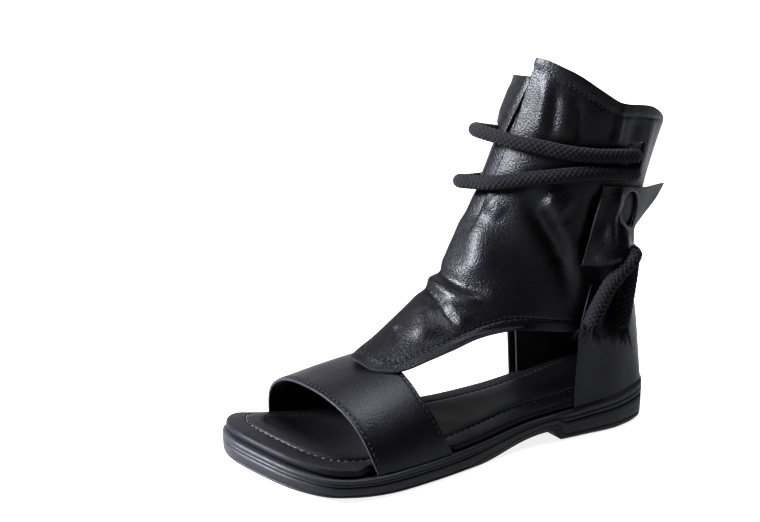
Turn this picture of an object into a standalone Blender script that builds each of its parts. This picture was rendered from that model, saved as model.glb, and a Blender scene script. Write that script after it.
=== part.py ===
"""Gladiator sandal boot, left foot, standing on its sole.

The origin is on the floor, at the middle of the heel's flat face. The toe points to -Y, the lateral
side to +X. Sizes are in metres. Places along the foot are measured from the back of the heel towards
the toe, and places across it from the line through the middle of the heel.
"""

import math

import bmesh
import bpy
import numpy as np

# The sole
LENGTH = 0.264
BALL_WIDTH = 0.103
HEEL_MIDDLE = 0.036
HEEL_BREAST = 0.073
HEEL_BREAST_SLOPE = 0.007
FOREFOOT_START = 0.139
SPRING_START = 0.190
TOE_SPRING = 0.010
RIM_HEIGHT = 0.0155
WAIST_LIFT = 0.0065
GROOVE_DEPTH = 0.0007

# The footbed
BED_INSET = 0.0053
BED_THICKNESS = 0.0048
CHANNEL_INSET = 0.0110
CHANNEL_DEPTH = 0.0012

# The shaft
SHAFT_HEIGHT = 0.221
SHAFT_HALF_WIDTH = 0.036
SIDE_STATION = 0.046
HEEL_FULL = 2.08
PANEL_STEP = 0.0026
WALL = 0.0016

# The toe band
BAND_WALL = 0.0018
BAND_INSET = 0.0016
BAND_RIDGE = -0.014
BAND_CROWN = 0.0585
BAND_CROWN_FALL = 0.20
BAND_FULL_LATERAL = 2.0
BAND_FULL_MEDIAL = 2.5

# The overlays
COUNTER_WALL = 0.0013
CUFF_WALL = 0.0015
FLAP_WALL = 0.0015
FLAP_HOLE_WIDTH = 0.017
FLAP_HOLE_HEIGHT = 0.026
FLAP_HOLE_TURN = 1.21
FLAP_HOLE_LEVEL = 0.593

# The rope
ROPE_DIAMETER = 0.0082
ROPE_STEP = 0.0050

# Fits
CLEARANCE = 0.0003
CURVED_CLEARANCE = 0.0005

# Colours, linear
RUBBER = (0.012, 0.012, 0.013)
LEATHER = (0.010, 0.010, 0.011)
ROPE = (0.014, 0.014, 0.015)

# Outline of the sole: along as a share of LENGTH, both edges as shares of BALL_WIDTH
OUTLINE = (
    # along, medial, lateral
    (0.000, 0.000, 0.000),
    (0.010, -0.122, 0.122),
    (0.040, -0.245, 0.247),
    (0.114, -0.315, 0.315),
    (0.227, -0.309, 0.311),
    (0.379, -0.300, 0.294),
    (0.530, -0.355, 0.360),
    (0.644, -0.500, 0.400),
    (0.758, -0.578, 0.415),
    (0.833, -0.587, 0.395),
    (0.890, -0.578, 0.355),
    (0.935, -0.539, 0.255),
    (0.978, -0.420, 0.040),
    (1.000, -0.210, -0.210),
)

# Height of the rubber's top edge, as a share of RIM_HEIGHT
RIM = (
    # along, height
    (0.000, 1.80),
    (0.150, 1.40),
    (0.417, 1.00),
    (0.682, 0.81),
    (0.871, 0.90),
    (1.000, 1.52),
)

# Lower edge of the shaft over the side openings and the vamp's tip, as a share of SHAFT_HEIGHT
EDGE = (
    # along, lateral height, medial height
    (0.000, 0.300, 0.300),
    (0.170, 0.300, 0.300),
    (0.215, 0.300, 0.300),
    (0.260, 0.300, 0.308),
    (0.365, 0.320, 0.332),
    (0.440, 0.332, 0.336),
    (0.520, 0.321, 0.313),
    (0.565, 0.299, 0.293),
    (0.615, 0.275, 0.277),
    (0.665, 0.250, 0.262),
    (0.705, 0.243, 0.262),
    (0.728, 0.266, 0.266),
)

# Sections of the upper, from its lower edge to the collar. Lengths along are shares of LENGTH,
# heights of SHAFT_HEIGHT, places across of SHAFT_HALF_WIDTH. Full is the roundness of the front,
# from 2 for an ellipse to more for a squarer plan.
SECTIONS = (
    # front, front height, ridge, side height, lateral, medial, full,
    #     lateral back, medial back, back height
    (0.728, 0.262, -0.39, 0.300, 0.86, -0.90, 2.35, 0.028, 0.028, 0.300),
    (0.636, 0.320, -0.53, 0.360, 0.87, -0.97, 2.25, 0.046, 0.046, 0.360),
    (0.530, 0.415, -0.53, 0.425, 0.88, -0.99, 2.15, 0.070, 0.070, 0.416),
    (0.466, 0.510, -0.53, 0.500, 0.88, -0.99, 2.10, 0.076, 0.076, 0.490),
    (0.424, 0.610, -0.47, 0.590, 0.90, -0.99, 2.05, 0.040, 0.042, 0.590),
    (0.392, 0.710, -0.36, 0.690, 0.90, -0.99, 2.05, 0.010, 0.024, 0.690),
    (0.357, 0.830, -0.20, 0.800, 0.90, -1.00, 2.05, -0.024, 0.004, 0.780),
    (0.318, 1.000, -0.03, 0.900, 0.90, -1.02, 2.05, -0.052, -0.014, 0.860),
)
TOP = len(SECTIONS)

# Height of the collar as a share of SHAFT_HEIGHT. The turn is 0 at the front ridge, 1 at the side and
# 2 at the back, positive on the lateral side.
COLLAR = (
    # turn, height
    (-1.60, 0.885),
    (-1.00, 0.925),
    (-0.45, 0.944),
    (0.00, 0.947),
    (0.08, 0.948),
    (0.125, 1.000),
    (0.140, 1.000),
    (0.45, 0.972),
    (0.80, 0.918),
    (1.00, 0.890),
    (1.30, 0.876),
    (1.80, 0.852),
)

# Turns of the lateral panel's front edge, of the back opening, of the counter and of the slots
PANEL_START = 0.080
PANEL_TURN = 0.125
GAP_LATERAL = 1.80
GAP_MEDIAL = -1.60
COUNTER_LATERAL = 0.87
COUNTER_MEDIAL = -0.84
COUNTER_OVERLAP = 0.03
COUNTER_LEVEL = 3.0
SLOT_LATERAL = 1.24
SLOT_MEDIAL = -1.425
SLOT_HALF_TURN = 0.125
SLOT_LOW = 5.75
SLOT_HIGH = 6.85
CUFF_REAR = -1.22
CUFF_FRONT = 0.055

# Toe band: its edges along as shares of LENGTH. The turn is 1 at the lateral base, 0 at the crown and
# -1 at the medial base.
BAND = (
    # turn, front edge, rear edge
    (-1.00, 0.845, 0.640),
    (-0.50, 0.852, 0.650),
    (0.00, 0.842, 0.658),
    (0.26, 0.829, 0.657),
    (0.43, 0.818, 0.652),
    (0.53, 0.812, 0.649),
    (0.70, 0.803, 0.634),
    (0.84, 0.796, 0.622),
    (1.00, 0.784, 0.600),
)

# Arched lower edge of the cuff, as shares of SHAFT_HEIGHT
ARCH = (
    # turn, height
    (-1.22, 0.570),
    (-1.10, 0.640),
    (-0.90, 0.725),
    (-0.65, 0.785),
    (-0.40, 0.815),
    (-0.15, 0.826),
    (0.06, 0.800),
)

# The flap from its lower edge to its upper one: its front edge as a turn and a height, and its free back
# edge across as a share of SHAFT_HALF_WIDTH, along as a share of LENGTH, and its height
FLAP = (
    # share, front turn, front height, back across, back along, back height
    (0.00, 0.800, 0.517, 0.700, 0.105, 0.517),
    (0.25, 0.820, 0.560, 0.690, 0.090, 0.540),
    (0.50, 0.840, 0.600, 0.630, 0.058, 0.575),
    (0.75, 0.865, 0.645, 0.500, 0.010, 0.612),
    (1.00, 0.885, 0.683, 0.380, -0.030, 0.650),
)
FLAP_LEAVES = 1.34

# The rope's two turns round the shaft: heights as shares of SHAFT_HEIGHT, and the slack in front as a
# share of ROPE_DIAMETER
WRAPS = (
    # turn, upper height, lower height, slack
    (-1.80, 0.742, 0.692, 0.00),
    (-1.40, 0.745, 0.690, 0.00),
    (-1.00, 0.765, 0.674, 0.00),
    (-0.50, 0.786, 0.664, 0.10),
    (-0.10, 0.792, 0.660, 0.70),
    (0.20, 0.790, 0.686, 0.30),
    (0.40, 0.782, 0.705, 0.00),
    (0.60, 0.769, 0.716, 0.00),
    (0.80, 0.761, 0.719, 0.00),
    (1.00, 0.757, 0.714, 0.00),
    (1.24, 0.750, 0.702, 0.00),
    (1.80, 0.742, 0.692, 0.00),
)

# How the rope goes through a slot: turn from the slot's middle, and how far the rope's middle stands off
# the shaft's outer face, as a share of ROPE_DIAMETER
CROSSING = (
    # turn, stand off
    (-0.100, 0.52),
    (-0.055, 0.26),
    (0.000, -0.10),
    (0.055, -0.46),
    (0.100, -0.72),
)

# The tie: turn, height as a share of SHAFT_HEIGHT, and stand off as a share of ROPE_DIAMETER
KNOT = (
    # turn, height, stand off
    (1.56, 0.500, -0.84),
    (1.76, 0.498, -0.86),
    (1.89, 0.497, -0.60),
    (1.93, 0.496, -0.05),
    (1.88, 0.495, 0.52),
    (1.76, 0.495, 0.68),
    (1.58, 0.495, 0.64),
    (1.38, 0.494, 0.64),
    (1.20, 0.492, 0.72),
    (1.08, 0.491, 1.15),
    (0.98, 0.488, 1.88),
    (0.89, 0.482, 1.94),
    (0.81, 0.472, 1.60),
    (0.76, 0.458, 0.90),
)
END_FRONT = (
    # turn, height, stand off
    (0.965, 0.484, 0.80),
    (0.945, 0.455, 0.80),
    (0.915, 0.405, 0.82),
    (0.875, 0.345, 0.86),
    (0.860, 0.270, 0.92),
)
END_BACK = (
    # turn, height, stand off
    (1.18, 0.4530, 0.76),
    (1.10, 0.4500, 0.80),
    (1.045, 0.424, 0.84),
    (1.02, 0.380, 0.86),
    (1.02, 0.325, 0.88),
    (1.03, 0.262, 0.92),
)


def smooth(table, column, at):
    """Value of one column of a table, read at a place in its first column along a smooth curve."""
    xs = np.array([row[0] for row in table])
    ys = np.array([row[column] for row in table])
    at = np.clip(at, xs[0], xs[-1])
    step = np.diff(xs)
    rise = np.diff(ys) / step
    inner = (rise[:-1] * step[1:] + rise[1:] * step[:-1]) / (step[:-1] + step[1:])
    slope = np.concatenate([rise[:1], inner, rise[-1:]])
    k = np.clip(np.searchsorted(xs, at, side="right") - 1, 0, len(xs) - 2)
    t = (at - xs[k]) / step[k]
    start = (1 + 2 * t) * (1 - t) ** 2 * ys[k] + t * (1 - t) ** 2 * step[k] * slope[k]
    return start + t * t * (3 - 2 * t) * ys[k + 1] + t * t * (t - 1) * step[k] * slope[k + 1]


def blend(low, high, x):
    """Soft step from 0 at low to 1 at high."""
    t = np.clip((x - low) / (high - low), 0, 1)
    return t * t * (3 - 2 * t)


def place(across, along, height):
    """Points of the model from places on the foot."""
    return np.stack(np.broadcast_arrays(across, HEEL_MIDDLE - np.asarray(along), height), axis=-1)


def spans(*pieces):
    """Places from start to end in even steps, span after span: (start, end, steps) each."""
    found = [pieces[0][0]]
    for start, end, steps in pieces:
        found.extend(start + (end - start) * (k + 1) / steps for k in range(steps))
    return np.array(found)


def closed_curve(points, count):
    """Points along the smooth closed curve through some points, evenly spaced within each span."""
    points = np.asarray(points)
    chord = np.linalg.norm(np.roll(points, -1, axis=0) - points, axis=1)
    before = np.roll(chord, 1)
    rise = (np.roll(points, -1, axis=0) - points) / chord[:, None]
    fall = (points - np.roll(points, 1, axis=0)) / before[:, None]
    slope = (rise * before[:, None] + fall * chord[:, None]) / (before + chord)[:, None]
    found = []
    for k in range(len(points)):
        nxt = (k + 1) % len(points)
        t = np.linspace(0, 1, count, endpoint=False)[:, None]
        start = (1 + 2 * t) * (1 - t) ** 2 * points[k] + t * (1 - t) ** 2 * chord[k] * slope[k]
        end = t * t * (3 - 2 * t) * points[nxt] + t * t * (t - 1) * chord[k] * slope[nxt]
        found.append(start + end)
    return np.concatenate(found)


def along_line(line, share):
    """Points at shares of a line's length."""
    run = np.concatenate([[0], np.cumsum(np.linalg.norm(np.diff(line, axis=0), axis=1))])
    at = np.asarray(share) * run[-1]
    return np.stack([np.interp(at, run, column) for column in line.T], axis=-1)


def line_turn(line):
    """Twice the signed area inside a closed line, negative when it turns clockwise."""
    ahead = np.roll(line, -1, axis=0)
    return np.sum(ahead[:, 0] * line[:, 1] - line[:, 0] * ahead[:, 1])


def sole_edges(inset):
    """Both edges of the sole's outline drawn in by inset, as (along, across), heel to toe."""
    lateral = [(row[0] * LENGTH, row[2] * BALL_WIDTH) for row in OUTLINE]
    medial = [(row[0] * LENGTH, row[1] * BALL_WIDTH) for row in OUTLINE[-2:0:-1]]
    line = closed_curve(lateral + medial, 24)
    ahead = np.roll(line, -1, axis=0) - np.roll(line, 1, axis=0)
    inward = np.stack([-ahead[:, 1], ahead[:, 0]], axis=1) / np.linalg.norm(ahead, axis=1)[:, None]
    line = line - inward * inset * np.sign(line_turn(line))
    toe = int(np.argmax(line[:, 0]))
    heel = int(np.argmin(line[:, 0]))
    line = np.roll(line, -heel, axis=0)
    toe = (toe - heel) % len(line)
    return line[: toe + 1], np.concatenate([line[toe:], line[:1]])[::-1]


def edge_across(side, inset, along):
    """Place across of the sole's edge, drawn in by inset, at places along the foot."""
    line = sole_edges(inset)[0 if side > 0 else 1]
    return np.interp(along, line[:, 0], line[:, 1])


def rim_height(share):
    return RIM_HEIGHT * smooth(RIM, 1, share)


def floor_height(share):
    """Underside of the sole: flat heel, lifted waist, flat forefoot and the toe's spring."""
    along = share * LENGTH
    breast = blend(HEEL_BREAST, HEEL_BREAST + HEEL_BREAST_SLOPE, along)
    waist = WAIST_LIFT * breast * (1 - blend(HEEL_BREAST + HEEL_BREAST_SLOPE, FOREFOOT_START, along))
    spring = np.clip((along - SPRING_START) / (LENGTH - SPRING_START), 0, 1)
    return waist + TOE_SPRING * spring**2


# Stations of the sole as shares of its length, close together at the round ends and at the breast
STATIONS = np.unique(
    np.concatenate(
        [
            (1 - np.cos(np.linspace(0, math.pi, 33))) / 2,
            np.array([HEEL_BREAST, HEEL_BREAST + HEEL_BREAST_SLOPE, FOREFOOT_START]) / LENGTH,
        ]
    ).round(4)
)


def finish(obj, colour, roughness):
    """Give an object a material of its own."""
    material = bpy.data.materials.new(obj.name)
    material.use_nodes = True
    shader = material.node_tree.nodes["Principled BSDF"]
    shader.inputs["Base Color"].default_value = (*colour, 1)
    shader.inputs["Roughness"].default_value = roughness
    shader.inputs["Metallic"].default_value = 0
    obj.data.materials.append(material)


def new_object(name, bm, colour, roughness):
    """Object from a bmesh."""
    mesh = bpy.data.meshes.new(name)
    bmesh.ops.recalc_face_normals(bm, faces=bm.faces)
    bm.to_mesh(mesh)
    bm.free()
    obj = bpy.data.objects.new(name, mesh)
    bpy.context.scene.collection.objects.link(obj)
    finish(obj, colour, roughness)
    mesh.shade_smooth()
    mesh.set_sharp_from_angle(angle=math.radians(50))
    return obj


def ladder(rows):
    """Closed solid from loops round the foot. A row is an inset and the loop's height at each station."""
    bm = bmesh.new()
    loops = []
    for inset, height in rows:
        lateral, medial = sole_edges(inset)
        start, end = lateral[0, 0], lateral[-1, 0]
        along = start + (end - start) * STATIONS
        right = place(np.interp(along, lateral[:, 0], lateral[:, 1]), along, height)
        left = place(np.interp(along, medial[:, 0], medial[:, 1]), along, height)
        points = np.concatenate([right, left[-2:0:-1]])
        loops.append([bm.verts.new(point) for point in points])
    count = len(loops[0])
    for low, high in zip(loops, loops[1:]):
        for k in range(count):
            nxt = (k + 1) % count
            bm.faces.new((low[k], low[nxt], high[nxt], high[k]))
    last = len(STATIONS) - 1
    for loop in (loops[0], loops[-1]):
        bm.faces.new((loop[0], loop[1], loop[-1]))
        for k in range(1, last - 1):
            bm.faces.new((loop[k], loop[k + 1], loop[-k - 1], loop[-k]))
        bm.faces.new((loop[last - 1], loop[last], loop[last + 1]))
    return bm


def outsole():
    """Rubber unit sole: tread edge, side wall with its groove, and the flat top that the footbed lies on."""
    floor = floor_height(STATIONS)
    rim = rim_height(STATIONS)
    along = STATIONS * LENGTH
    waist = blend(HEEL_BREAST, HEEL_BREAST + HEEL_BREAST_SLOPE, along) * (
        1 - blend(FOREFOOT_START - 0.01, FOREFOOT_START + 0.01, along)
    )
    lip = floor + 0.0008 + 0.0025 * waist
    profile = (
        # inset, share of the side wall
        (0.0012, 0.00),
        (0.0002, 0.12),
        (0.0000, 0.58),
        (GROOVE_DEPTH, 0.61),
        (GROOVE_DEPTH, 0.65),
        (0.0000, 0.68),
        (0.0001, 0.92),
        (0.0008, 1.00),
    )
    rows = [(0.0030, floor)]
    rows += [(inset, lip + (rim - lip) * share) for inset, share in profile]
    return new_object("outsole", ladder(rows), RUBBER, 0.55)


def bed_height(share, rise):
    return rim_height(share) + CLEARANCE + rise


def footbed():
    """Padded leather footbed: rolled rim, the dip of the stitched channel, and the cushion inside it."""
    rows = (
        (BED_INSET + 0.0008, bed_height(STATIONS, 0)),
        (BED_INSET, bed_height(STATIONS, 0.35 * BED_THICKNESS)),
        (BED_INSET + 0.0008, bed_height(STATIONS, 0.80 * BED_THICKNESS)),
        (BED_INSET + 0.0030, bed_height(STATIONS, BED_THICKNESS)),
        (CHANNEL_INSET, bed_height(STATIONS, BED_THICKNESS - CHANNEL_DEPTH)),
        (CHANNEL_INSET + 0.006, bed_height(STATIONS, BED_THICKNESS - 0.3 * CHANNEL_DEPTH)),
    )
    return new_object("footbed", ladder(rows), LEATHER, 0.5)


def quarter(start, end, full, swap):
    """Dense quarter of a rounded plan between two extremes, as (across, along)."""
    angle = np.linspace(0, math.pi / 2, 49)
    rise = np.sin(angle) ** (2 / full)
    fall = np.cos(angle) ** (2 / full)
    if swap:
        rise, fall = 1 - fall, 1 - rise
    across = start[0] + (end[0] - start[0]) * rise
    along = start[1] + (end[1] - start[1]) * (1 - fall)
    return np.stack([across, along], axis=1)


def ring_plan(row, turn):
    """Plan of one section of the upper at the turns given, as (across, along)."""
    front, _, ridge, _, lateral, medial, full, lateral_back, medial_back, _ = row
    plan = np.empty((len(turn), 2))
    for side, wide, back in ((1, lateral, lateral_back), (-1, medial, medial_back)):
        ridge_point = (ridge * SHAFT_HALF_WIDTH, front * LENGTH)
        side_point = (wide * SHAFT_HALF_WIDTH, SIDE_STATION)
        back_point = (0.0, back * LENGTH)
        here = (turn >= 0) if side > 0 else (turn < 0)
        ahead = here & (np.abs(turn) <= 1)
        behind = here & (np.abs(turn) > 1)
        plan[ahead] = along_line(quarter(ridge_point, side_point, full, False), np.abs(turn[ahead]))
        heel = quarter(side_point, back_point, HEEL_FULL, True)
        plan[behind] = along_line(heel, np.abs(turn[behind]) - 1)
    return plan


def base_plan(turn):
    """Plan of the upper's foot, which stands on the rim just inside the sole's edge."""
    plan = ring_plan(SECTIONS[0], turn)
    for side, line in zip((1, -1), sole_edges(BAND_INSET + COUNTER_WALL)):
        edge = np.interp(SIDE_STATION, line[:, 0], line[:, 1])
        heel = np.concatenate([line[line[:, 0] < SIDE_STATION], [(SIDE_STATION, edge)]])[::-1, ::-1]
        ahead = (side * turn > 0) & (np.abs(turn) <= 1)
        behind = (side * turn > 0) & (np.abs(turn) > 1)
        plan[ahead, 0] = np.interp(plan[ahead, 1], line[:, 0], line[:, 1])
        plan[behind] = along_line(heel, np.abs(turn[behind]) - 1)
    return plan


def upper_rows(turn):
    """Every section of the upper at the turns given: its foot, its lower edge, and up to the collar."""
    plan = base_plan(turn)
    rows = [place(plan[:, 0], plan[:, 1], rim_height(plan[:, 1] / LENGTH) + CLEARANCE)]
    for k, row in enumerate(SECTIONS):
        plan = ring_plan(row, turn)
        share = plan[:, 1] / LENGTH
        if k == 0:
            height = np.where(turn > 0, smooth(EDGE, 1, share), smooth(EDGE, 2, share))
        elif k == TOP - 1:
            height = smooth(COLLAR, 1, turn)
        else:
            level = np.where(np.abs(turn) < 1, row[1], row[9])
            height = row[3] + (level - row[3]) * np.cos(turn * math.pi / 2) ** 2
        rows.append(place(plan[:, 0], plan[:, 1], height * SHAFT_HEIGHT))
    return np.array(rows)


def band_crown(along):
    """Height of the band's ridge, which falls towards the toe."""
    return BAND_CROWN - BAND_CROWN_FALL * (along - smooth(BAND, 2, 0.0) * LENGTH)


def band_section(along, turn):
    """Points of the toe band's outer face, by the turns of the band's table."""
    base = rim_height(along / LENGTH) + CLEARANCE
    crown = band_crown(along)
    side = np.where(turn > 0, edge_across(1, BAND_INSET, along), edge_across(-1, BAND_INSET, along))
    full = np.where(turn > 0, BAND_FULL_LATERAL, BAND_FULL_MEDIAL)
    angle = np.abs(turn) * math.pi / 2
    across = BAND_RIDGE + (side - BAND_RIDGE) * np.sin(angle) ** (2 / full)
    height = base + (crown - base) * np.cos(angle) ** (2 / full)
    return place(across, along, height)


def band_top(across, along):
    """Height of the band's outer face above a place of the foot."""
    base = rim_height(along / LENGTH)
    lateral = across > BAND_RIDGE
    side = np.where(lateral, edge_across(1, BAND_INSET, along), edge_across(-1, BAND_INSET, along))
    full = np.where(lateral, BAND_FULL_LATERAL, BAND_FULL_MEDIAL)
    share = np.clip((across - BAND_RIDGE) / (side - BAND_RIDGE), 0, 1)
    return base + (band_crown(along) - base) * (1 - share**full) ** (1 / full)


def rest_on_band(points):
    """The vamp's tip lies on the band, sunk into it by a part of its own wall so that both join."""
    along = HEEL_MIDDLE - points[:, 1]
    near = blend(0.60 * LENGTH, 0.66 * LENGTH, along)
    top = band_top(points[:, 0], along) + 0.32 * WALL
    lifted = points.copy()
    lifted[:, 2] = np.maximum(points[:, 2], points[:, 2] + (top - points[:, 2]) * near)
    return lifted


def lift_panel(points, level, turn):
    """The lateral panel of the shaft laps over the medial one: a step in the wall at its front edge."""
    axis = place(0.0, SIDE_STATION + 0.015, 0.0)
    outward = points - axis
    outward[:, 2] = 0
    outward /= np.linalg.norm(outward, axis=1)[:, None]
    rise = blend(4.0, 6.0, level) * blend(PANEL_START, PANEL_TURN, turn) * (1 - blend(0.3, 0.9, turn))
    return points + outward * (PANEL_STEP * rise)[:, None]


def upper_surface(level, turn):
    """Outer face of the upper. Level 0 is its foot on the sole, 1 its lower edge, the last the collar."""
    level, turn = np.broadcast_arrays(np.asarray(level, float), np.asarray(turn, float))
    shape = level.shape
    level, turn = level.ravel(), turn.ravel()
    rows = upper_rows(turn)
    slope = np.empty_like(rows)
    slope[1:-1] = (rows[2:] - rows[:-2]) / 2
    slope[0] = rows[1] - rows[0]
    slope[-1] = rows[-1] - rows[-2]
    behind = blend(0.7, 1.0, np.abs(turn))[:, None]
    slope[1] = slope[1] * behind + (rows[2] - rows[1]) * (1 - behind)
    k = np.clip(level.astype(int), 0, TOP - 1)
    t = (level - k)[:, None]
    n = np.arange(len(turn))
    start = (1 + 2 * t) * (1 - t) ** 2 * rows[k, n] + t * (1 - t) ** 2 * slope[k, n]
    end = t * t * (3 - 2 * t) * rows[k + 1, n] + t * t * (t - 1) * slope[k + 1, n]
    points = lift_panel(rest_on_band(start + end), level, turn)
    return points.reshape(*shape, 3)


def off_upper(level, turn, distance):
    """Points that stand off the upper's outer face."""
    step = 0.02
    up = upper_surface(np.minimum(level + step, TOP), turn) - upper_surface(np.maximum(level - step, 0), turn)
    ahead = upper_surface(level, turn + step) - upper_surface(level, turn - step)
    outward = np.cross(ahead, up)
    outward /= np.linalg.norm(outward, axis=-1, keepdims=True)
    return upper_surface(level, turn) + outward * np.asarray(distance)[..., None]


def level_of(height, turn):
    """Level of the upper at a height, for each turn."""
    levels = np.linspace(0, TOP, 8 * TOP + 1)
    found = []
    for h, one in zip(height, turn):
        found.append(np.interp(h, upper_surface(levels, one)[:, 2], levels))
    return np.array(found)


def off_shaft(rows):
    """Points from rows of turn, height as a share of SHAFT_HEIGHT, and stand off in rope diameters."""
    turn, height, stand = np.array(rows).T
    return off_upper(level_of(height * SHAFT_HEIGHT, turn), turn, stand * ROPE_DIAMETER)


def sheet(points, keep=None):
    """Open bmesh of a grid of points, with a face where keep is true."""
    bm = bmesh.new()
    verts = {}

    def vert(i, j):
        if (i, j) not in verts:
            verts[i, j] = bm.verts.new(points[i, j])
        return verts[i, j]

    for i in range(points.shape[0] - 1):
        for j in range(points.shape[1] - 1):
            if keep is None or keep[i, j]:
                bm.faces.new((vert(i, j), vert(i, j + 1), vert(i + 1, j + 1), vert(i + 1, j)))
    return bm


def thicken(obj, wall):
    """Give an open outer face its wall, on the inside."""
    solid = obj.modifiers.new("wall", "SOLIDIFY")
    solid.thickness = wall
    solid.offset = -1
    solid.use_even_offset = True


def turned_out(bm):
    """Turn the faces of an open bmesh so that they look away from the middle of the foot."""
    bm.normal_update()
    face = max(bm.faces, key=lambda one: abs(one.calc_center_median().x))
    if face.normal.x * face.calc_center_median().x < 0:
        bmesh.ops.reverse_faces(bm, faces=bm.faces)
    return bm


def shell(name, bm, wall):
    """Leather piece from its outer face and its wall."""
    bmesh.ops.recalc_face_normals(bm, faces=bm.faces)
    mesh = bpy.data.meshes.new(name)
    turned_out(bm).to_mesh(mesh)
    bm.free()
    obj = bpy.data.objects.new(name, mesh)
    bpy.context.scene.collection.objects.link(obj)
    finish(obj, LEATHER, 0.42)
    mesh.shade_smooth()
    thicken(obj, wall)
    return obj


TURNS = spans(
    (-2.0, GAP_MEDIAL, 3),
    (GAP_MEDIAL, SLOT_MEDIAL - SLOT_HALF_TURN, 1),
    (SLOT_MEDIAL - SLOT_HALF_TURN, SLOT_MEDIAL + SLOT_HALF_TURN, 2),
    (SLOT_MEDIAL + SLOT_HALF_TURN, -1.0, 3),
    (-1.0, COUNTER_MEDIAL - COUNTER_OVERLAP, 1),
    (COUNTER_MEDIAL - COUNTER_OVERLAP, 0.0, 13),
    (0.0, PANEL_START, 1),
    (PANEL_START, PANEL_TURN, 1),
    (PANEL_TURN, COUNTER_LATERAL + COUNTER_OVERLAP, 12),
    (COUNTER_LATERAL + COUNTER_OVERLAP, SLOT_LATERAL - SLOT_HALF_TURN, 2),
    (SLOT_LATERAL - SLOT_HALF_TURN, SLOT_LATERAL + SLOT_HALF_TURN, 2),
    (SLOT_LATERAL + SLOT_HALF_TURN, GAP_LATERAL, 4),
    (GAP_LATERAL, 2.0, 2),
)
LEVELS = spans(
    (0.0, 1.0, 3),
    (1.0, COUNTER_LEVEL, 5),
    (COUNTER_LEVEL, SLOT_LOW, 5),
    (SLOT_LOW, SLOT_HIGH, 2),
    (SLOT_HIGH, TOP, 2),
)


def upper():
    """The leather wall round foot and ankle, with the toe band joined under the vamp's tip."""
    level, turn = np.meshgrid(LEVELS, TURNS, indexing="ij")
    points = upper_surface(level, turn)
    middle = ((TURNS[:-1] + TURNS[1:]) / 2)[None, :]
    height = ((LEVELS[:-1] + LEVELS[1:]) / 2)[:, None]
    heel = (middle > COUNTER_LATERAL + COUNTER_OVERLAP) | (middle < COUNTER_MEDIAL - COUNTER_OVERLAP)
    gap = (middle > GAP_LATERAL) | (middle < GAP_MEDIAL)
    slot = (np.abs(middle - SLOT_LATERAL) < SLOT_HALF_TURN) | (np.abs(middle - SLOT_MEDIAL) < SLOT_HALF_TURN)
    keep = (height > 1) | heel
    keep &= ~(gap & (height > COUNTER_LEVEL))
    keep &= ~(slot & (height > SLOT_LOW) & (height < SLOT_HIGH))
    bm = sheet(points, keep)
    bmesh.ops.remove_doubles(bm, verts=bm.verts, dist=1e-6)
    obj = shell("upper", bm, WALL)
    join(obj, toe_band())
    return obj


def toe_band():
    turn = np.linspace(1, -1, 29)
    share = np.linspace(0, 1, 9)
    front = LENGTH * smooth(BAND, 1, turn)
    rear = LENGTH * smooth(BAND, 2, turn)
    along = front[None, :] + (rear - front)[None, :] * share[:, None]
    return shell("toe_band_form", sheet(band_section(along, turn[None, :])), BAND_WALL)


def heel_counter():
    """Smooth leather counter over the back of the upper, standing on the rim."""
    lateral = spans((COUNTER_LATERAL, 1.0, 2), (1.0, 2.0, 8))
    medial = spans((-2.0, -1.0, 8), (-1.0, COUNTER_MEDIAL, 2))
    turn = np.concatenate([lateral, medial[1:]])
    level = np.linspace(0, COUNTER_LEVEL, 8)
    level, turn = np.meshgrid(level, turn, indexing="ij")
    points = off_upper(level, turn, np.full(level.shape, CURVED_CLEARANCE + COUNTER_WALL))
    rim = rim_height((HEEL_MIDDLE - points[..., 1]) / LENGTH) + CLEARANCE
    points[..., 2] = np.maximum(points[..., 2], rim)
    points[0, :, 2] = rim[0]
    return shell("heel_counter", sheet(points), COUNTER_WALL)


def cuff():
    """Second leather layer on the medial side of the shaft, with its arched lower edge."""
    within = TURNS[(TURNS > CUFF_REAR) & (TURNS < CUFF_FRONT)]
    turn = np.concatenate([[CUFF_REAR], within, [CUFF_FRONT]])
    low = level_of(smooth(ARCH, 1, turn) * SHAFT_HEIGHT, turn)
    share = np.linspace(0, 1, 8)[:, None]
    level = low[None, :] + (TOP - low[None, :]) * share
    stand = np.full(level.shape, 1.4 * CURVED_CLEARANCE + CUFF_WALL)
    points = off_upper(level, np.broadcast_to(turn, level.shape), stand)
    return shell("cuff", sheet(points), CUFF_WALL)


def flap_surface():
    """Outer face of the flap: rows up its height, each from the shaft's side to the free back edge."""
    gap = CURVED_CLEARANCE + FLAP_WALL
    found = []
    for share in np.linspace(0, 1, 9):
        front, low, across, along, high = (float(smooth(FLAP, k, share)) for k in (1, 2, 3, 4, 5))
        turn = np.linspace(front, FLAP_LEAVES, 5)
        height = np.linspace(low, low + (high - low) * 0.6, 5) * SHAFT_HEIGHT
        lying = off_upper(level_of(height, turn), turn, np.full(5, gap))
        free = place(across * SHAFT_HALF_WIDTH + gap, along * LENGTH, high * SHAFT_HEIGHT)
        found.append(even_route(np.concatenate([lying, free[None, :]]), 14))
    return np.array(found)


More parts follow.
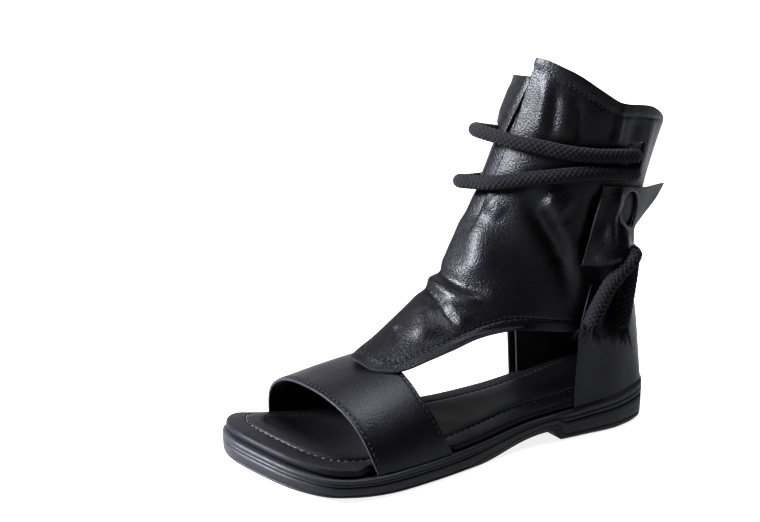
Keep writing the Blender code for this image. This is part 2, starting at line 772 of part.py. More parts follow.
def back_flap():
    """Lateral flap behind the ankle, with its oval hole."""
    obj = shell("back_flap", sheet(flap_surface()), FLAP_WALL)
    turn = np.array([FLAP_HOLE_TURN])
    level = level_of(np.array([FLAP_HOLE_LEVEL * SHAFT_HEIGHT]), turn)
    middle = upper_surface(level, turn)[0]
    outward = off_upper(level, turn, np.array([1.0]))[0] - middle
    outward[2] = 0
    outward /= np.linalg.norm(outward)
    ahead = np.cross((0, 0, 1), outward)
    angle = np.linspace(0, 2 * math.pi, 24, endpoint=False)[:, None]
    oval = ahead * np.cos(angle) * FLAP_HOLE_WIDTH / 2
    oval = oval + np.array([0, 0, 1]) * np.sin(angle) * FLAP_HOLE_HEIGHT / 2
    bm = bmesh.new()
    rings = [[bm.verts.new(middle + point + outward * side) for point in oval] for side in (-0.01, 0.02)]
    for k in range(24):
        nxt = (k + 1) % 24
        bm.faces.new((rings[0][k], rings[0][nxt], rings[1][nxt], rings[1][k]))
    bm.faces.new(rings[0])
    bm.faces.new(rings[1])
    cut(obj, new_object("flap_hole_form", bm, LEATHER, 0.42))
    return obj


def even_route(points, count):
    """Points evenly spaced along the smooth open curve through some points."""
    run = np.concatenate([[0], np.cumsum(np.linalg.norm(np.diff(points, axis=0), axis=1))])
    table = np.column_stack([run, points])
    dense = np.stack([smooth(table, k, np.linspace(0, run[-1], 40 * len(points))) for k in (1, 2, 3)], axis=1)
    return along_line(dense, np.linspace(0, 1, count))


def cord(name, points, closed):
    """Rope along a line."""
    curve = bpy.data.curves.new(name, "CURVE")
    curve.dimensions = "3D"
    curve.bevel_depth = ROPE_DIAMETER / 2
    curve.bevel_resolution = 2
    curve.use_fill_caps = True
    spline = curve.splines.new("POLY")
    spline.points.add(len(points) - 1)
    for k, point in enumerate(points):
        spline.points[k].co = (*point, 1)
    spline.use_cyclic_u = closed
    spline.use_smooth = True
    obj = bpy.data.objects.new(name, curve)
    bpy.context.scene.collection.objects.link(obj)
    finish(obj, ROPE, 0.85)
    return obj


def rope_wrap(name, column):
    """One turn of the rope: round the front outside, through both slots, and across the back inside."""
    outside = np.linspace(SLOT_MEDIAL + 0.16, SLOT_LATERAL - 0.16, 22)
    lying = (CURVED_CLEARANCE + ROPE_DIAMETER / 2) / ROPE_DIAMETER
    over_cuff = (CURVED_CLEARANCE + CUFF_WALL) / ROPE_DIAMETER
    arch = smooth(ARCH, 1, outside) * SHAFT_HEIGHT - ROPE_DIAMETER
    height = smooth(WRAPS, column, outside) * SHAFT_HEIGHT
    lapped = blend(arch - 0.004, arch, height) * (1 - blend(CUFF_FRONT, CUFF_FRONT + 0.08, outside))
    stand = lying + over_cuff * lapped + smooth(WRAPS, 3, outside)
    rows = list(zip(outside, height / SHAFT_HEIGHT, stand))
    for side, middle in ((1, SLOT_LATERAL), (-1, SLOT_MEDIAL)):
        path = [(middle + side * turn, stand) for turn, stand in CROSSING]
        path += [(middle + side * 0.19, -0.76), (middle + side * 0.30, -0.76)]
        path = [(turn, float(smooth(WRAPS, column, turn)), stand) for turn, stand in path]
        rows = rows + path if side > 0 else path[::-1] + rows
    points = off_shaft(rows)
    line = closed_curve(points, 12)
    length = np.linalg.norm(np.diff(line, axis=0, append=line[:1]), axis=1).sum()
    count = int(length / ROPE_STEP)
    share = np.linspace(0, 1, count, endpoint=False)
    return cord(name, along_line(np.concatenate([line, line[:1]]), share), True)


def rope_piece(name, rows):
    points = off_shaft(rows)
    length = np.linalg.norm(np.diff(points, axis=0), axis=1).sum()
    return cord(name, even_route(points, int(length / ROPE_STEP) + 1), False)


def join(obj, other):
    """Boolean union with a form that is then only a guide."""
    union = obj.modifiers.new(other.name, "BOOLEAN")
    union.operation = "UNION"
    union.object = other
    as_guide(other)


def cut(obj, other):
    difference = obj.modifiers.new(other.name, "BOOLEAN")
    difference.operation = "DIFFERENCE"
    difference.object = other
    as_guide(other)


def as_guide(obj):
    obj.hide_render = True
    obj.display_type = "WIRE"


def clear_scene():
    for obj in list(bpy.data.objects):
        bpy.data.objects.remove(obj, do_unlink=True)


def main():
    clear_scene()
    outsole()
    footbed()
    upper()
    cuff()
    heel_counter()
    back_flap()
    rope_wrap("rope_upper_wrap", 1)
    rope_wrap("rope_lower_wrap", 2)
    rope_piece("rope_knot", KNOT)
    rope_piece("rope_end_front", END_FRONT)
    rope_piece("rope_end_back", END_BACK)


main()
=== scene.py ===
"""Dressed model of a gladiator sandal boot, left foot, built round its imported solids.

The origin is on the floor, at the middle of the heel's flat face. The toe points to -Y, the lateral
side to +X. Sizes are in metres. Places along the foot are measured from the back of the heel towards
the toe, and places across it from the line through the middle of the heel.
"""

import math

import bmesh
import bpy
import numpy as np
from bpy.props import FloatProperty, FloatVectorProperty, IntProperty, PointerProperty
from mathutils import Matrix, Vector
from mathutils.bvhtree import BVHTree


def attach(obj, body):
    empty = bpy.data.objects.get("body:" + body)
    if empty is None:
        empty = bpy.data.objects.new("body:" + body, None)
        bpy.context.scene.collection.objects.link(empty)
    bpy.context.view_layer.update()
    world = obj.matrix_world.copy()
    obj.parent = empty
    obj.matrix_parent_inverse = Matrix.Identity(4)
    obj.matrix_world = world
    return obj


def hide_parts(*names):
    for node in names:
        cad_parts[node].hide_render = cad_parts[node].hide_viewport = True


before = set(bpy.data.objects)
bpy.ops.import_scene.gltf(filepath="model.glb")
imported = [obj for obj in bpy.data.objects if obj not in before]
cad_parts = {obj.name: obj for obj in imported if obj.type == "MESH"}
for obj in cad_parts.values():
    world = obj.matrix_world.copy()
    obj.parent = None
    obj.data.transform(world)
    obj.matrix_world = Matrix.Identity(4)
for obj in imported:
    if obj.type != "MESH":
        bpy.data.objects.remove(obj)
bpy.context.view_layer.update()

bl_info = {
    "name": "Gladiator sandal boot",
    "version": (1, 0, 0),
    "blender": (4, 5, 0),
    "location": "View3D > Sidebar > Boot",
    "description": "Builds the leather, the rope and the sole of a gladiator sandal boot",
    "category": "Add Mesh",
}

# The sole
LENGTH = 0.264
BALL_WIDTH = 0.103
HEEL_MIDDLE = 0.036
HEEL_BREAST = 0.073
HEEL_BREAST_SLOPE = 0.007
FOREFOOT_START = 0.139
SPRING_START = 0.190
TOE_SPRING = 0.010
RIM_HEIGHT = 0.0155
WAIST_LIFT = 0.0065
TREAD_PITCH = 0.0075
TREAD_DEPTH = 0.0009
NOTCH_HEIGHT = 0.0011
NOTCH_DEPTH = 0.0006

# The footbed
BED_INSET = 0.0053
BED_THICKNESS = 0.0048
BED_CHANNEL = BED_INSET + 0.0080

# The shaft
SHAFT_HEIGHT = 0.221
SHAFT_HALF_WIDTH = 0.036
SIDE_STATION = 0.046
HEEL_FULL = 2.08
PANEL_STEP = 0.0026
WALL = 0.0016

# Turn from which the wing's corner is level, how tightly it rounds, and its drop in levels
CORNER_TURN = 1.66
CORNER_TIGHT = 7
CORNER_DROP = 0.38

# Hems: how thick they stand, the dent of their stitches, and the two rows in it
HEM_LIFT = 0.00035
HEM_DENT = 0.00045
HEM_DENT_HALF = 0.0009
HEM_ROWS = (-0.0006, 0.0010)

# The toe band
BAND_WALL = 0.0018
BAND_INSET = 0.0016
BAND_RIDGE = -0.014
BAND_CROWN = 0.0585
BAND_CROWN_FALL = 0.20
BAND_FULL_LATERAL = 2.0
BAND_FULL_MEDIAL = 2.5

# The overlays
COUNTER_WALL = 0.0013
CUFF_WALL = 0.0015
FLAP_WALL = 0.0015
FLAP_HOLE_WIDTH = 0.0165
FLAP_HOLE_HEIGHT = 0.0235
FLAP_HOLE_TURN = 1.205
FLAP_HOLE_LEVEL = 0.607

# The rope
ROPE_DIAMETER = 0.0082
ROPE_DENT = 0.0007
ROPE_DENT_HALF = 0.0042

# Fibres of its frayed ends
FIBRE_RADIUS = 0.00024
FIBRE_REACH = (0.006, 0.0125)
FIBRE_SPREAD = 0.55
FIBRE_BEND = 0.0011
FIBRE_DROOP = 0.0012

# Fits
CLEARANCE = 0.0003
CURVED_CLEARANCE = 0.0005

# Outline of the sole: along as a share of LENGTH, both edges as shares of BALL_WIDTH
OUTLINE = (
    # along, medial, lateral
    (0.000, 0.000, 0.000),
    (0.010, -0.122, 0.122),
    (0.040, -0.245, 0.247),
    (0.114, -0.315, 0.315),
    (0.227, -0.309, 0.311),
    (0.379, -0.300, 0.294),
    (0.530, -0.355, 0.360),
    (0.644, -0.500, 0.400),
    (0.758, -0.578, 0.415),
    (0.833, -0.587, 0.395),
    (0.890, -0.578, 0.355),
    (0.935, -0.539, 0.255),
    (0.978, -0.420, 0.040),
    (1.000, -0.210, -0.210),
)

# Height of the rubber's top edge, as a share of RIM_HEIGHT
RIM = (
    # along, height
    (0.000, 1.80),
    (0.150, 1.40),
    (0.417, 1.00),
    (0.682, 0.81),
    (0.871, 0.90),
    (1.000, 1.52),
)

# Lower edge of the shaft over the side openings and the vamp's tip, as a share of SHAFT_HEIGHT
EDGE = (
    # along, lateral height, medial height
    (0.000, 0.300, 0.300),
    (0.170, 0.300, 0.300),
    (0.215, 0.300, 0.300),
    (0.260, 0.300, 0.290),
    (0.365, 0.320, 0.293),
    (0.440, 0.332, 0.296),
    (0.520, 0.321, 0.280),
    (0.565, 0.299, 0.268),
    (0.615, 0.275, 0.260),
    (0.665, 0.250, 0.254),
    (0.705, 0.243, 0.262),
    (0.728, 0.266, 0.266),
)

# Sections of the upper, from its lower edge to the collar. Lengths along are shares of LENGTH,
# heights of SHAFT_HEIGHT, places across of SHAFT_HALF_WIDTH. Full is the roundness of the front.
SECTIONS = (
    # front, front height, ridge, side height, lateral, medial, full,
    #     lateral back, medial back, back height
    (0.728, 0.262, -0.39, 0.300, 0.86, -0.90, 2.35, 0.028, 0.028, 0.300),
    (0.636, 0.320, -0.53, 0.360, 0.87, -0.97, 2.25, 0.046, 0.046, 0.360),
    (0.530, 0.415, -0.53, 0.425, 0.88, -0.99, 2.15, 0.070, 0.070, 0.416),
    (0.466, 0.510, -0.53, 0.500, 0.88, -0.99, 2.10, 0.076, 0.076, 0.490),
    (0.424, 0.610, -0.47, 0.590, 0.90, -0.99, 2.05, 0.040, 0.042, 0.590),
    (0.392, 0.710, -0.36, 0.690, 0.90, -0.99, 2.05, 0.010, 0.024, 0.690),
    (0.357, 0.830, -0.20, 0.800, 0.90, -1.00, 2.05, -0.024, 0.004, 0.780),
    (0.318, 1.000, -0.03, 0.900, 0.90, -1.02, 2.05, -0.052, -0.014, 0.860),
)
TOP = len(SECTIONS)

# Height of the collar as a share of SHAFT_HEIGHT. The turn is 0 at the front ridge, 1 at the side and
# 2 at the back, positive on the lateral side.
COLLAR = (
    # turn, height
    (-1.60, 0.885),
    (-1.00, 0.925),
    (-0.45, 0.944),
    (0.00, 0.947),
    (0.08, 0.948),
    (0.125, 1.000),
    (0.140, 1.000),
    (0.45, 0.972),
    (0.80, 0.918),
    (1.00, 0.890),
    (1.30, 0.876),
    (1.80, 0.852),
)

# Turns of the lateral panel's front edge, of the back opening, of the counter and of the slots
PANEL_START = 0.108
PANEL_TURN = 0.125
GAP_LATERAL = 1.80
GAP_MEDIAL = -1.60
COUNTER_LATERAL = 0.87
COUNTER_MEDIAL = -0.84
COUNTER_OVERLAP = 0.03
COUNTER_LEVEL = 3.0
SLOT_LATERAL = 1.24
SLOT_MEDIAL = -1.425
SLOT_HALF_TURN = 0.096
SLOT_LOW = 6.02
SLOT_HIGH = 6.85
CUFF_REAR = -1.22
CUFF_FRONT = 0.055

# Toe band: its edges along as shares of LENGTH. The turn is 1 at the lateral base, 0 at the crown and
# -1 at the medial base.
BAND = (
    # turn, front edge, rear edge
    (-1.00, 0.845, 0.640),
    (-0.50, 0.852, 0.650),
    (0.00, 0.842, 0.658),
    (0.26, 0.829, 0.657),
    (0.43, 0.818, 0.652),
    (0.53, 0.812, 0.649),
    (0.70, 0.803, 0.634),
    (0.84, 0.796, 0.622),
    (1.00, 0.784, 0.600),
)

# Arched lower edge of the cuff, as shares of SHAFT_HEIGHT
ARCH = (
    # turn, height
    (-1.22, 0.570),
    (-1.10, 0.640),
    (-0.90, 0.725),
    (-0.65, 0.785),
    (-0.40, 0.815),
    (-0.15, 0.826),
    (0.06, 0.800),
)

# The flap from its lower edge to its upper one: its front edge as a turn and a height, and its free
# back edge across as a share of SHAFT_HALF_WIDTH, along as a share of LENGTH, and its height
FLAP = (
    # share, front turn, front height, back across, back along, back height
    (-0.18, 0.785, 0.478, 0.730, 0.124, 0.515),
    (0.00, 0.800, 0.517, 0.715, 0.112, 0.535),
    (0.25, 0.820, 0.560, 0.690, 0.090, 0.558),
    (0.50, 0.840, 0.600, 0.630, 0.058, 0.585),
    (0.75, 0.865, 0.645, 0.500, 0.010, 0.615),
    (1.00, 0.885, 0.683, 0.380, -0.030, 0.650),
)
FLAP_LEAVES = 1.34

# The rope's two turns round the shaft: heights as shares of SHAFT_HEIGHT, and the slack in front as a
# share of ROPE_DIAMETER
WRAPS = (
    # turn, upper height, lower height, slack
    (-1.80, 0.742, 0.692, 0.00),
    (-1.40, 0.745, 0.690, 0.00),
    (-1.00, 0.765, 0.674, 0.00),
    (-0.50, 0.786, 0.664, 0.10),
    (-0.10, 0.792, 0.660, 0.70),
    (0.20, 0.790, 0.686, 0.30),
    (0.40, 0.782, 0.705, 0.00),
    (0.60, 0.769, 0.716, 0.00),
    (0.80, 0.761, 0.719, 0.00),
    (1.00, 0.757, 0.714, 0.00),
    (1.24, 0.750, 0.702, 0.00),
    (1.80, 0.742, 0.692, 0.00),
)

# How the rope goes through a slot: turn from the slot's middle, and stand off in rope diameters
CROSSING = (
    # turn, stand off
    (-0.100, 0.52),
    (-0.055, 0.26),
    (0.000, -0.10),
    (0.055, -0.46),
    (0.100, -0.72),
)

# The tie: turn, height as a share of SHAFT_HEIGHT, and stand off as a share of ROPE_DIAMETER
KNOT = (
    # turn, height, stand off
    (1.56, 0.497, -0.84),
    (1.76, 0.497, -0.86),
    (1.89, 0.497, -0.70),
    (1.92, 0.496, -0.35),
    (1.86, 0.495, -0.05),
    (1.74, 0.494, 0.15),
    (1.56, 0.492, 0.30),
    (1.38, 0.490, 0.50),
    (1.20, 0.489, 0.62),
    (1.08, 0.488, 0.66),
    (0.98, 0.487, 0.62),
    (0.91, 0.487, 0.42),
    (0.85, 0.487, 0.15),
)
END_FRONT = (
    # turn, height, stand off
    (1.16, 0.515, 1.30),
    (1.08, 0.490, 1.50),
    (0.99, 0.462, 1.30),
    (0.94, 0.425, 1.00),
    (0.91, 0.385, 0.90),
    (0.89, 0.345, 0.86),
    (0.88, 0.312, 0.88),
)
END_BACK = (
    # turn, height, stand off
    (1.25, 0.518, 0.78),
    (1.23, 0.480, 0.80),
    (1.19, 0.440, 0.80),
    (1.14, 0.395, 0.82),
    (1.09, 0.345, 0.84),
    (1.05, 0.298, 0.88),
)

# Folds of the upper, each along a line of places (turn, height as a share of SHAFT_HEIGHT). The
# first two values are how far it stands out, negative for a trough, and its half width, in metres.
FOLDS = (
    # the bend of the ankle
    (-0.0026, 0.0040, ((-0.42, 0.440), (-0.20, 0.448), (0.00, 0.450), (0.12, 0.437),
        (0.21, 0.425), (0.29, 0.420), (0.36, 0.421))),
    (0.0019, 0.0040, ((-0.30, 0.425), (0.00, 0.430), (0.12, 0.422), (0.20, 0.413),
        (0.28, 0.405), (0.34, 0.402))),
    (-0.0022, 0.0042, ((-0.22, 0.400), (0.00, 0.412), (0.10, 0.399), (0.18, 0.378),
        (0.26, 0.357), (0.32, 0.341))),
    (0.0014, 0.0044, ((0.16, 0.397), (0.25, 0.372), (0.34, 0.347))),
    (0.0022, 0.0070, ((0.09, 0.380), (0.155, 0.349), (0.21, 0.311))),
    (-0.0013, 0.0026, ((0.04, 0.330), (0.065, 0.318), (0.10, 0.303))),
    (0.0034, 0.0110, ((0.10, 0.600), (0.17, 0.540), (0.22, 0.487), (0.26, 0.446))),
    # the fold that runs from the rope down to the hem
    (0.0014, 0.0056, ((0.14, 0.642), (0.20, 0.624), (0.265, 0.600))),
    (-0.0056, 0.0062, ((0.39, 0.680), (0.48, 0.620), (0.565, 0.572), (0.645, 0.530),
        (0.70, 0.485), (0.77, 0.390))),
    (0.0036, 0.0054, ((0.445, 0.662), (0.54, 0.615), (0.635, 0.567), (0.715, 0.513),
        (0.775, 0.453), (0.815, 0.387))),
    (0.0026, 0.0080, ((0.49, 0.659), (0.57, 0.637), (0.655, 0.608))),
    (-0.0026, 0.0050, ((0.87, 0.680), (0.855, 0.613), (0.825, 0.548), (0.81, 0.487))),
    # the tie draws the back edge in
    (-0.0036, 0.0080, ((1.45, 0.490), (1.60, 0.490), (1.80, 0.490))),
    # upright folds between the collar and the rope
    (0.0015, 0.0040, ((0.285, 0.965), (0.31, 0.897), (0.32, 0.848), (0.33, 0.800))),
    (-0.0010, 0.0030, ((0.375, 0.932), (0.405, 0.874), (0.43, 0.801))),
    (0.0011, 0.0050, ((0.47, 0.912), (0.505, 0.852), (0.535, 0.788))),
    (-0.0014, 0.0026, ((0.57, 0.906), (0.60, 0.850), (0.625, 0.785))),
    (0.0006, 0.0050, ((0.765, 0.887), (0.755, 0.836), (0.74, 0.793))),
    (-0.0010, 0.0024, ((0.96, 0.882), (0.945, 0.833), (0.915, 0.790))),
    (0.0012, 0.0026, ((1.03, 0.884), (1.00, 0.819), (0.96, 0.764))),
    (-0.0014, 0.0060, ((1.21, 0.863), (1.175, 0.792), (1.16, 0.760))),
    (0.0008, 0.0045, ((1.44, 0.847), (1.395, 0.771), (1.34, 0.697))),
    # the medial side
    (-0.0022, 0.0048, ((-0.30, 0.640), (-0.45, 0.590), (-0.58, 0.540), (-0.68, 0.470), (-0.74, 0.390))),
    (0.0014, 0.0040, ((-0.38, 0.640), (-0.54, 0.590), (-0.66, 0.540), (-0.76, 0.470))),
    (0.0018, 0.0110, ((-0.12, 0.600), (-0.16, 0.530), (-0.20, 0.470))),
    (-0.0012, 0.0036, ((-0.90, 0.640), (-0.92, 0.560), (-0.88, 0.480))),
)

# Soft upright waves of the cuff, on the same terms
CUFF_FOLDS = (
    (0.0010, 0.0045, ((-0.25, 0.935), (-0.24, 0.880), (-0.22, 0.830))),
    (-0.0010, 0.0035, ((-0.42, 0.935), (-0.42, 0.880), (-0.40, 0.825))),
    (0.0009, 0.0045, ((-0.62, 0.925), (-0.62, 0.860), (-0.60, 0.800))),
    (-0.0010, 0.0040, ((-0.86, 0.915), (-0.85, 0.840), (-0.84, 0.760))),
    (0.0008, 0.0040, ((-1.06, 0.900), (-1.05, 0.800), (-1.04, 0.700))),
)

# Folds of the flap: how far out, half width, and a line of places (share of its height, share across)
FLAP_FOLDS = (
    (0.0028, 0.0036, ((1.00, 0.17), (0.70, 0.21), (0.40, 0.27), (0.15, 0.34))),
    (-0.0016, 0.0030, ((1.00, 0.34), (0.70, 0.38), (0.45, 0.42))),
    (0.0009, 0.0024, ((0.05, 0.10), (0.06, 0.30), (0.04, 0.55))),
)

# Heights of the side wall of the sole as shares, with how far each place lies in, in metres
SOLE_WALL = (
    # share, inset
    (0.000, 0.0016),
    (0.030, 0.0009),
    (0.080, 0.0004),
    (0.150, 0.0001),
    (0.165, 0.0005),
    (0.180, 0.0005),
    (0.195, 0.0001),
    (0.330, 0.0000),
    (0.480, 0.0000),
    (0.595, 0.0000),
    (0.612, 0.0004),
    (0.622, 0.0008),
    (0.642, 0.0008),
    (0.652, 0.0004),
    (0.668, 0.0000),
    (0.760, 0.0000),
    (0.772, 0.0004),
    (0.784, 0.0004),
    (0.796, 0.0000),
    (0.900, 0.0001),
    (0.955, 0.0004),
    (1.000, 0.0012),
)

# Where the camera stands and looks: columns of its turn, and its place
CAMERA_PLACE = (0.51618, -0.45348, 0.26693)
CAMERA_AZIMUTH = 59.246
CAMERA_ELEVATION = 14.116
CAMERA_ROLL = 0.111
CAMERA_LENS = 54.47

# Across the channel of the footbed, in metres
CHANNEL = (
    # inset from its middle, depth
    (-0.0013, 0.0000),
    (-0.0008, 0.0002),
    (-0.0005, 0.0010),
    (0.0000, 0.0016),
    (0.0005, 0.0010),
    (0.0009, 0.0001),
    (0.0028, -0.0002),
    (0.0053, -0.0001),
    (0.0093, 0.0002),
)

# Section of the raw ring round the flap's hole
HOLE_RING_WIDTH = 0.0013
HOLE_RING = (
    # share of its width outward from the hole's edge, height over the flap
    (1.00, 0.0000),
    (0.75, 0.0005),
    (0.10, 0.0006),
    (-0.60, 0.0003),
    (-0.85, -0.0006),
    (-0.70, -0.0016),
    (0.20, -0.0010),
    (1.00, 0.0000),
)

# Lamps, aimed at the shaft
LAMPS = (
    # name, place, diameter in metres, power in watts
    ("key", (-0.30, -1.39, 0.84), 0.60, 135.0),
    ("top", (0.05, 0.25, 1.50), 0.8, 30.0),
    ("fill", (1.25, -0.75, 0.75), 0.8, 0.8),
)
LAMP_COLOUR = (0.90, 0.93, 1.0)
BACKDROP = (-4.1, 2.4, 2.0)
LAMP_AIM = (0.0, -0.05, 0.10)

# Tones that no property holds, as sRGB
PALE_EDGE = "4c4b48"
# Thread of the footbed's channel, lighter than the other thread: partly its own tone, partly a painted
# glint
BED_THREAD_TONE_AND_GLINT = "4e4c50"

# Where nearly all values of a noise texture lie
NOISE_REACH = (0.3, 0.7)

# Yarns side by side in one strand of the rope
YARNS = 3

# Points nearer than this are one point
WELD = 2e-6


def linear(code):
    """Linear colour from a sRGB hex value."""
    parts = [int(code[k : k + 2], 16) / 255 for k in (0, 2, 4)]
    return tuple(c / 12.92 if c <= 0.04045 else ((c + 0.055) / 1.055) ** 2.4 for c in parts) + (1.0,)


def colour(name, code, description):
    tone = linear(code)
    return FloatVectorProperty(name=name, description=description, subtype="COLOR", size=4, default=tone)


def measure(name, default, description):
    return FloatProperty(name=name, description=description, default=default, unit="LENGTH")


class BootColours(bpy.types.PropertyGroup):
    leather: colour("Leather", "09080b", "Pebbled leather of the shaft and the vamp")
    smooth_leather: colour("Smooth leather", "0d0c10", "Smooth leather of the toe band and the counter")
    lining: colour("Lining", "0b0b0d", "Inner face of the leather")
    cut_edge: colour("Cut edge", "1f1e21", "Raw edge of the leather")
    footbed: colour("Footbed", "0e0d10", "Padded leather underfoot")
    rubber: colour("Rubber", "161518", "Moulded sole")
    rope: colour("Rope", "110f13", "Braided cotton")
    thread: colour("Thread", "201f22", "Stitches")
    floor: colour("Floor", "8e8f92", "Studio floor")


class BootSizes(bpy.types.PropertyGroup):
    grain: measure("Grain", 0.00095, "Width of one pebble of the leather")
    stitch: measure("Stitch", 0.0022, "Length of one stitch")
    stitch_gap: measure("Gap", 0.0010, "Gap between two stitches")
    thread: measure("Thread", 0.00030, "Radius of the thread")
    hem: measure("Hem", 0.0066, "Width of the hem along the edges")
    strands: IntProperty(name="Strands", description="Strands of the rope that turn each way", default=7)
    braid: measure("Braid", 0.0031, "Length of the rope from one crossing of strands to the next")
    fray: IntProperty(name="Fray", description="Fibres at each open end of the rope", default=90)


def bent(t, start, end, leave, arrive):
    """Point at a share t of a cubic piece, from its ends and the slopes there."""
    first = (1 + 2 * t) * (1 - t) ** 2 * start + t * (1 - t) ** 2 * leave
    return first + t * t * (3 - 2 * t) * end + t * t * (t - 1) * arrive


def smooth(table, column, at):
    """Value of one column of a table, read at a place in its first column along a smooth curve."""
    xs = np.array([row[0] for row in table])
    ys = np.array([row[column] for row in table])
    at = np.clip(at, xs[0], xs[-1])
    step = np.diff(xs)
    rise = np.diff(ys) / step
    inner = (rise[:-1] * step[1:] + rise[1:] * step[:-1]) / (step[:-1] + step[1:])
    slope = np.concatenate([rise[:1], inner, rise[-1:]])
    k = np.clip(np.searchsorted(xs, at, side="right") - 1, 0, len(xs) - 2)
    t = (at - xs[k]) / step[k]
    return bent(t, ys[k], ys[k + 1], step[k] * slope[k], step[k] * slope[k + 1])


def blend(low, high, x):
    """Soft step from 0 at low to 1 at high."""
    t = np.clip((x - low) / (high - low), 0, 1)
    return t * t * (3 - 2 * t)


def place(across, along, height):
    """Points of the model from places on the foot."""
    return np.stack(np.broadcast_arrays(across, HEEL_MIDDLE - np.asarray(along), height), axis=-1)


def spans(*pieces):
    """Places from start to end in even steps, span after span: (start, end, steps) each."""
    found = [pieces[0][0]]
    for start, end, steps in pieces:
        found.extend(start + (end - start) * (k + 1) / steps for k in range(steps))
    return np.array(found)


def closed_curve(points, count):
    """Points along the smooth closed curve through some points, evenly spaced within each span."""
    points = np.asarray(points)
    chord = np.linalg.norm(np.roll(points, -1, axis=0) - points, axis=1)
    before = np.roll(chord, 1)
    rise = (np.roll(points, -1, axis=0) - points) / chord[:, None]
    fall = (points - np.roll(points, 1, axis=0)) / before[:, None]
    slope = (rise * before[:, None] + fall * chord[:, None]) / (before + chord)[:, None]
    found = []
    for k in range(len(points)):
        nxt = (k + 1) % len(points)
        t = np.linspace(0, 1, count, endpoint=False)[:, None]
        found.append(bent(t, points[k], points[nxt], chord[k] * slope[k], chord[k] * slope[nxt]))
    return np.concatenate(found)


def run_of(line):
    """Length along a line up to each of its points."""
    return np.concatenate([[0], np.cumsum(np.linalg.norm(np.diff(line, axis=0), axis=1))])


def along_line(line, share):
    """Points at shares of a line's length."""
    run = run_of(line)
    at = np.asarray(share) * run[-1]
    return np.stack([np.interp(at, run, column) for column in line.T], axis=-1)


def even_route(points, count):
    """Points evenly spaced along the smooth open curve through some points."""
    table = np.column_stack([run_of(points), points])
    at = np.linspace(0, table[-1, 0], 40 * len(points))
    dense = np.stack([smooth(table, k, at) for k in (1, 2, 3)], axis=1)
    return along_line(dense, np.linspace(0, 1, count))


def line_turn(line):
    """Twice the signed area inside a closed line, negative when it turns clockwise."""
    ahead = np.roll(line, -1, axis=0)
    return np.sum(ahead[:, 0] * line[:, 1] - line[:, 0] * ahead[:, 1])


def sole_edges(inset):
    """Both edges of the sole's outline drawn in by inset, as (along, across), heel to toe."""
    lateral = [(row[0] * LENGTH, row[2] * BALL_WIDTH) for row in OUTLINE]
    medial = [(row[0] * LENGTH, row[1] * BALL_WIDTH) for row in OUTLINE[-2:0:-1]]
    line = closed_curve(lateral + medial, 24)
    ahead = np.roll(line, -1, axis=0) - np.roll(line, 1, axis=0)
    inward = np.stack([-ahead[:, 1], ahead[:, 0]], axis=1) / np.linalg.norm(ahead, axis=1)[:, None]
    line = line - inward * inset * np.sign(line_turn(line))
    toe = int(np.argmax(line[:, 0]))
    heel = int(np.argmin(line[:, 0]))
    line = np.roll(line, -heel, axis=0)
    toe = (toe - heel) % len(line)
    return line[: toe + 1], np.concatenate([line[toe:], line[:1]])[::-1]


def edge_across(side, inset, along):
    """Place across of the sole's edge, drawn in by inset, at places along the foot."""
    line = sole_edges(inset)[0 if side > 0 else 1]
    return np.interp(along, line[:, 0], line[:, 1])


def rim_height(share):
    return RIM_HEIGHT * smooth(RIM, 1, share)


def floor_height(share):
    """Underside of the sole: flat heel, lifted waist, flat forefoot and the toe's spring."""
    along = share * LENGTH
    breast = blend(HEEL_BREAST, HEEL_BREAST + HEEL_BREAST_SLOPE, along)
    waist = WAIST_LIFT * breast * (1 - blend(HEEL_BREAST + HEEL_BREAST_SLOPE, FOREFOOT_START, along))
    spring = np.clip((along - SPRING_START) / (LENGTH - SPRING_START), 0, 1)
    return waist + TOE_SPRING * spring**2


def quarter(start, end, full, swap):
    """Dense quarter of a rounded plan between two extremes, as (across, along)."""
    angle = np.linspace(0, math.pi / 2, 49)
    rise = np.sin(angle) ** (2 / full)
    fall = np.cos(angle) ** (2 / full)
    if swap:
        rise, fall = 1 - fall, 1 - rise
    across = start[0] + (end[0] - start[0]) * rise
    along = start[1] + (end[1] - start[1]) * (1 - fall)
    return np.stack([across, along], axis=1)


def ring_plan(row, turn):
    """Plan of one section of the upper at the turns given, as (across, along)."""
    front, _, ridge, _, lateral, medial, full, lateral_back, medial_back, _ = row
    plan = np.empty((len(turn), 2))
    for side, wide, back in ((1, lateral, lateral_back), (-1, medial, medial_back)):
        ridge_point = (ridge * SHAFT_HALF_WIDTH, front * LENGTH)
        side_point = (wide * SHAFT_HALF_WIDTH, SIDE_STATION)
        back_point = (0.0, back * LENGTH)
        here = (turn >= 0) if side > 0 else (turn < 0)
        ahead = here & (np.abs(turn) <= 1)
        behind = here & (np.abs(turn) > 1)
        plan[ahead] = along_line(quarter(ridge_point, side_point, full, False), np.abs(turn[ahead]))
        heel = quarter(side_point, back_point, HEEL_FULL, True)
        plan[behind] = along_line(heel, np.abs(turn[behind]) - 1)
    return plan


def base_plan(turn):
    """Plan of the upper's foot, which stands on the rim just inside the sole's edge."""
    plan = ring_plan(SECTIONS[0], turn)
    for side, line in zip((1, -1), sole_edges(BAND_INSET + COUNTER_WALL)):
        edge = np.interp(SIDE_STATION, line[:, 0], line[:, 1])
        heel = np.concatenate([line[line[:, 0] < SIDE_STATION], [(SIDE_STATION, edge)]])[::-1, ::-1]
        ahead = (side * turn > 0) & (np.abs(turn) <= 1)
        behind = (side * turn > 0) & (np.abs(turn) > 1)
        plan[ahead, 0] = np.interp(plan[ahead, 1], line[:, 0], line[:, 1])
        plan[behind] = along_line(heel, np.abs(turn[behind]) - 1)
    return plan


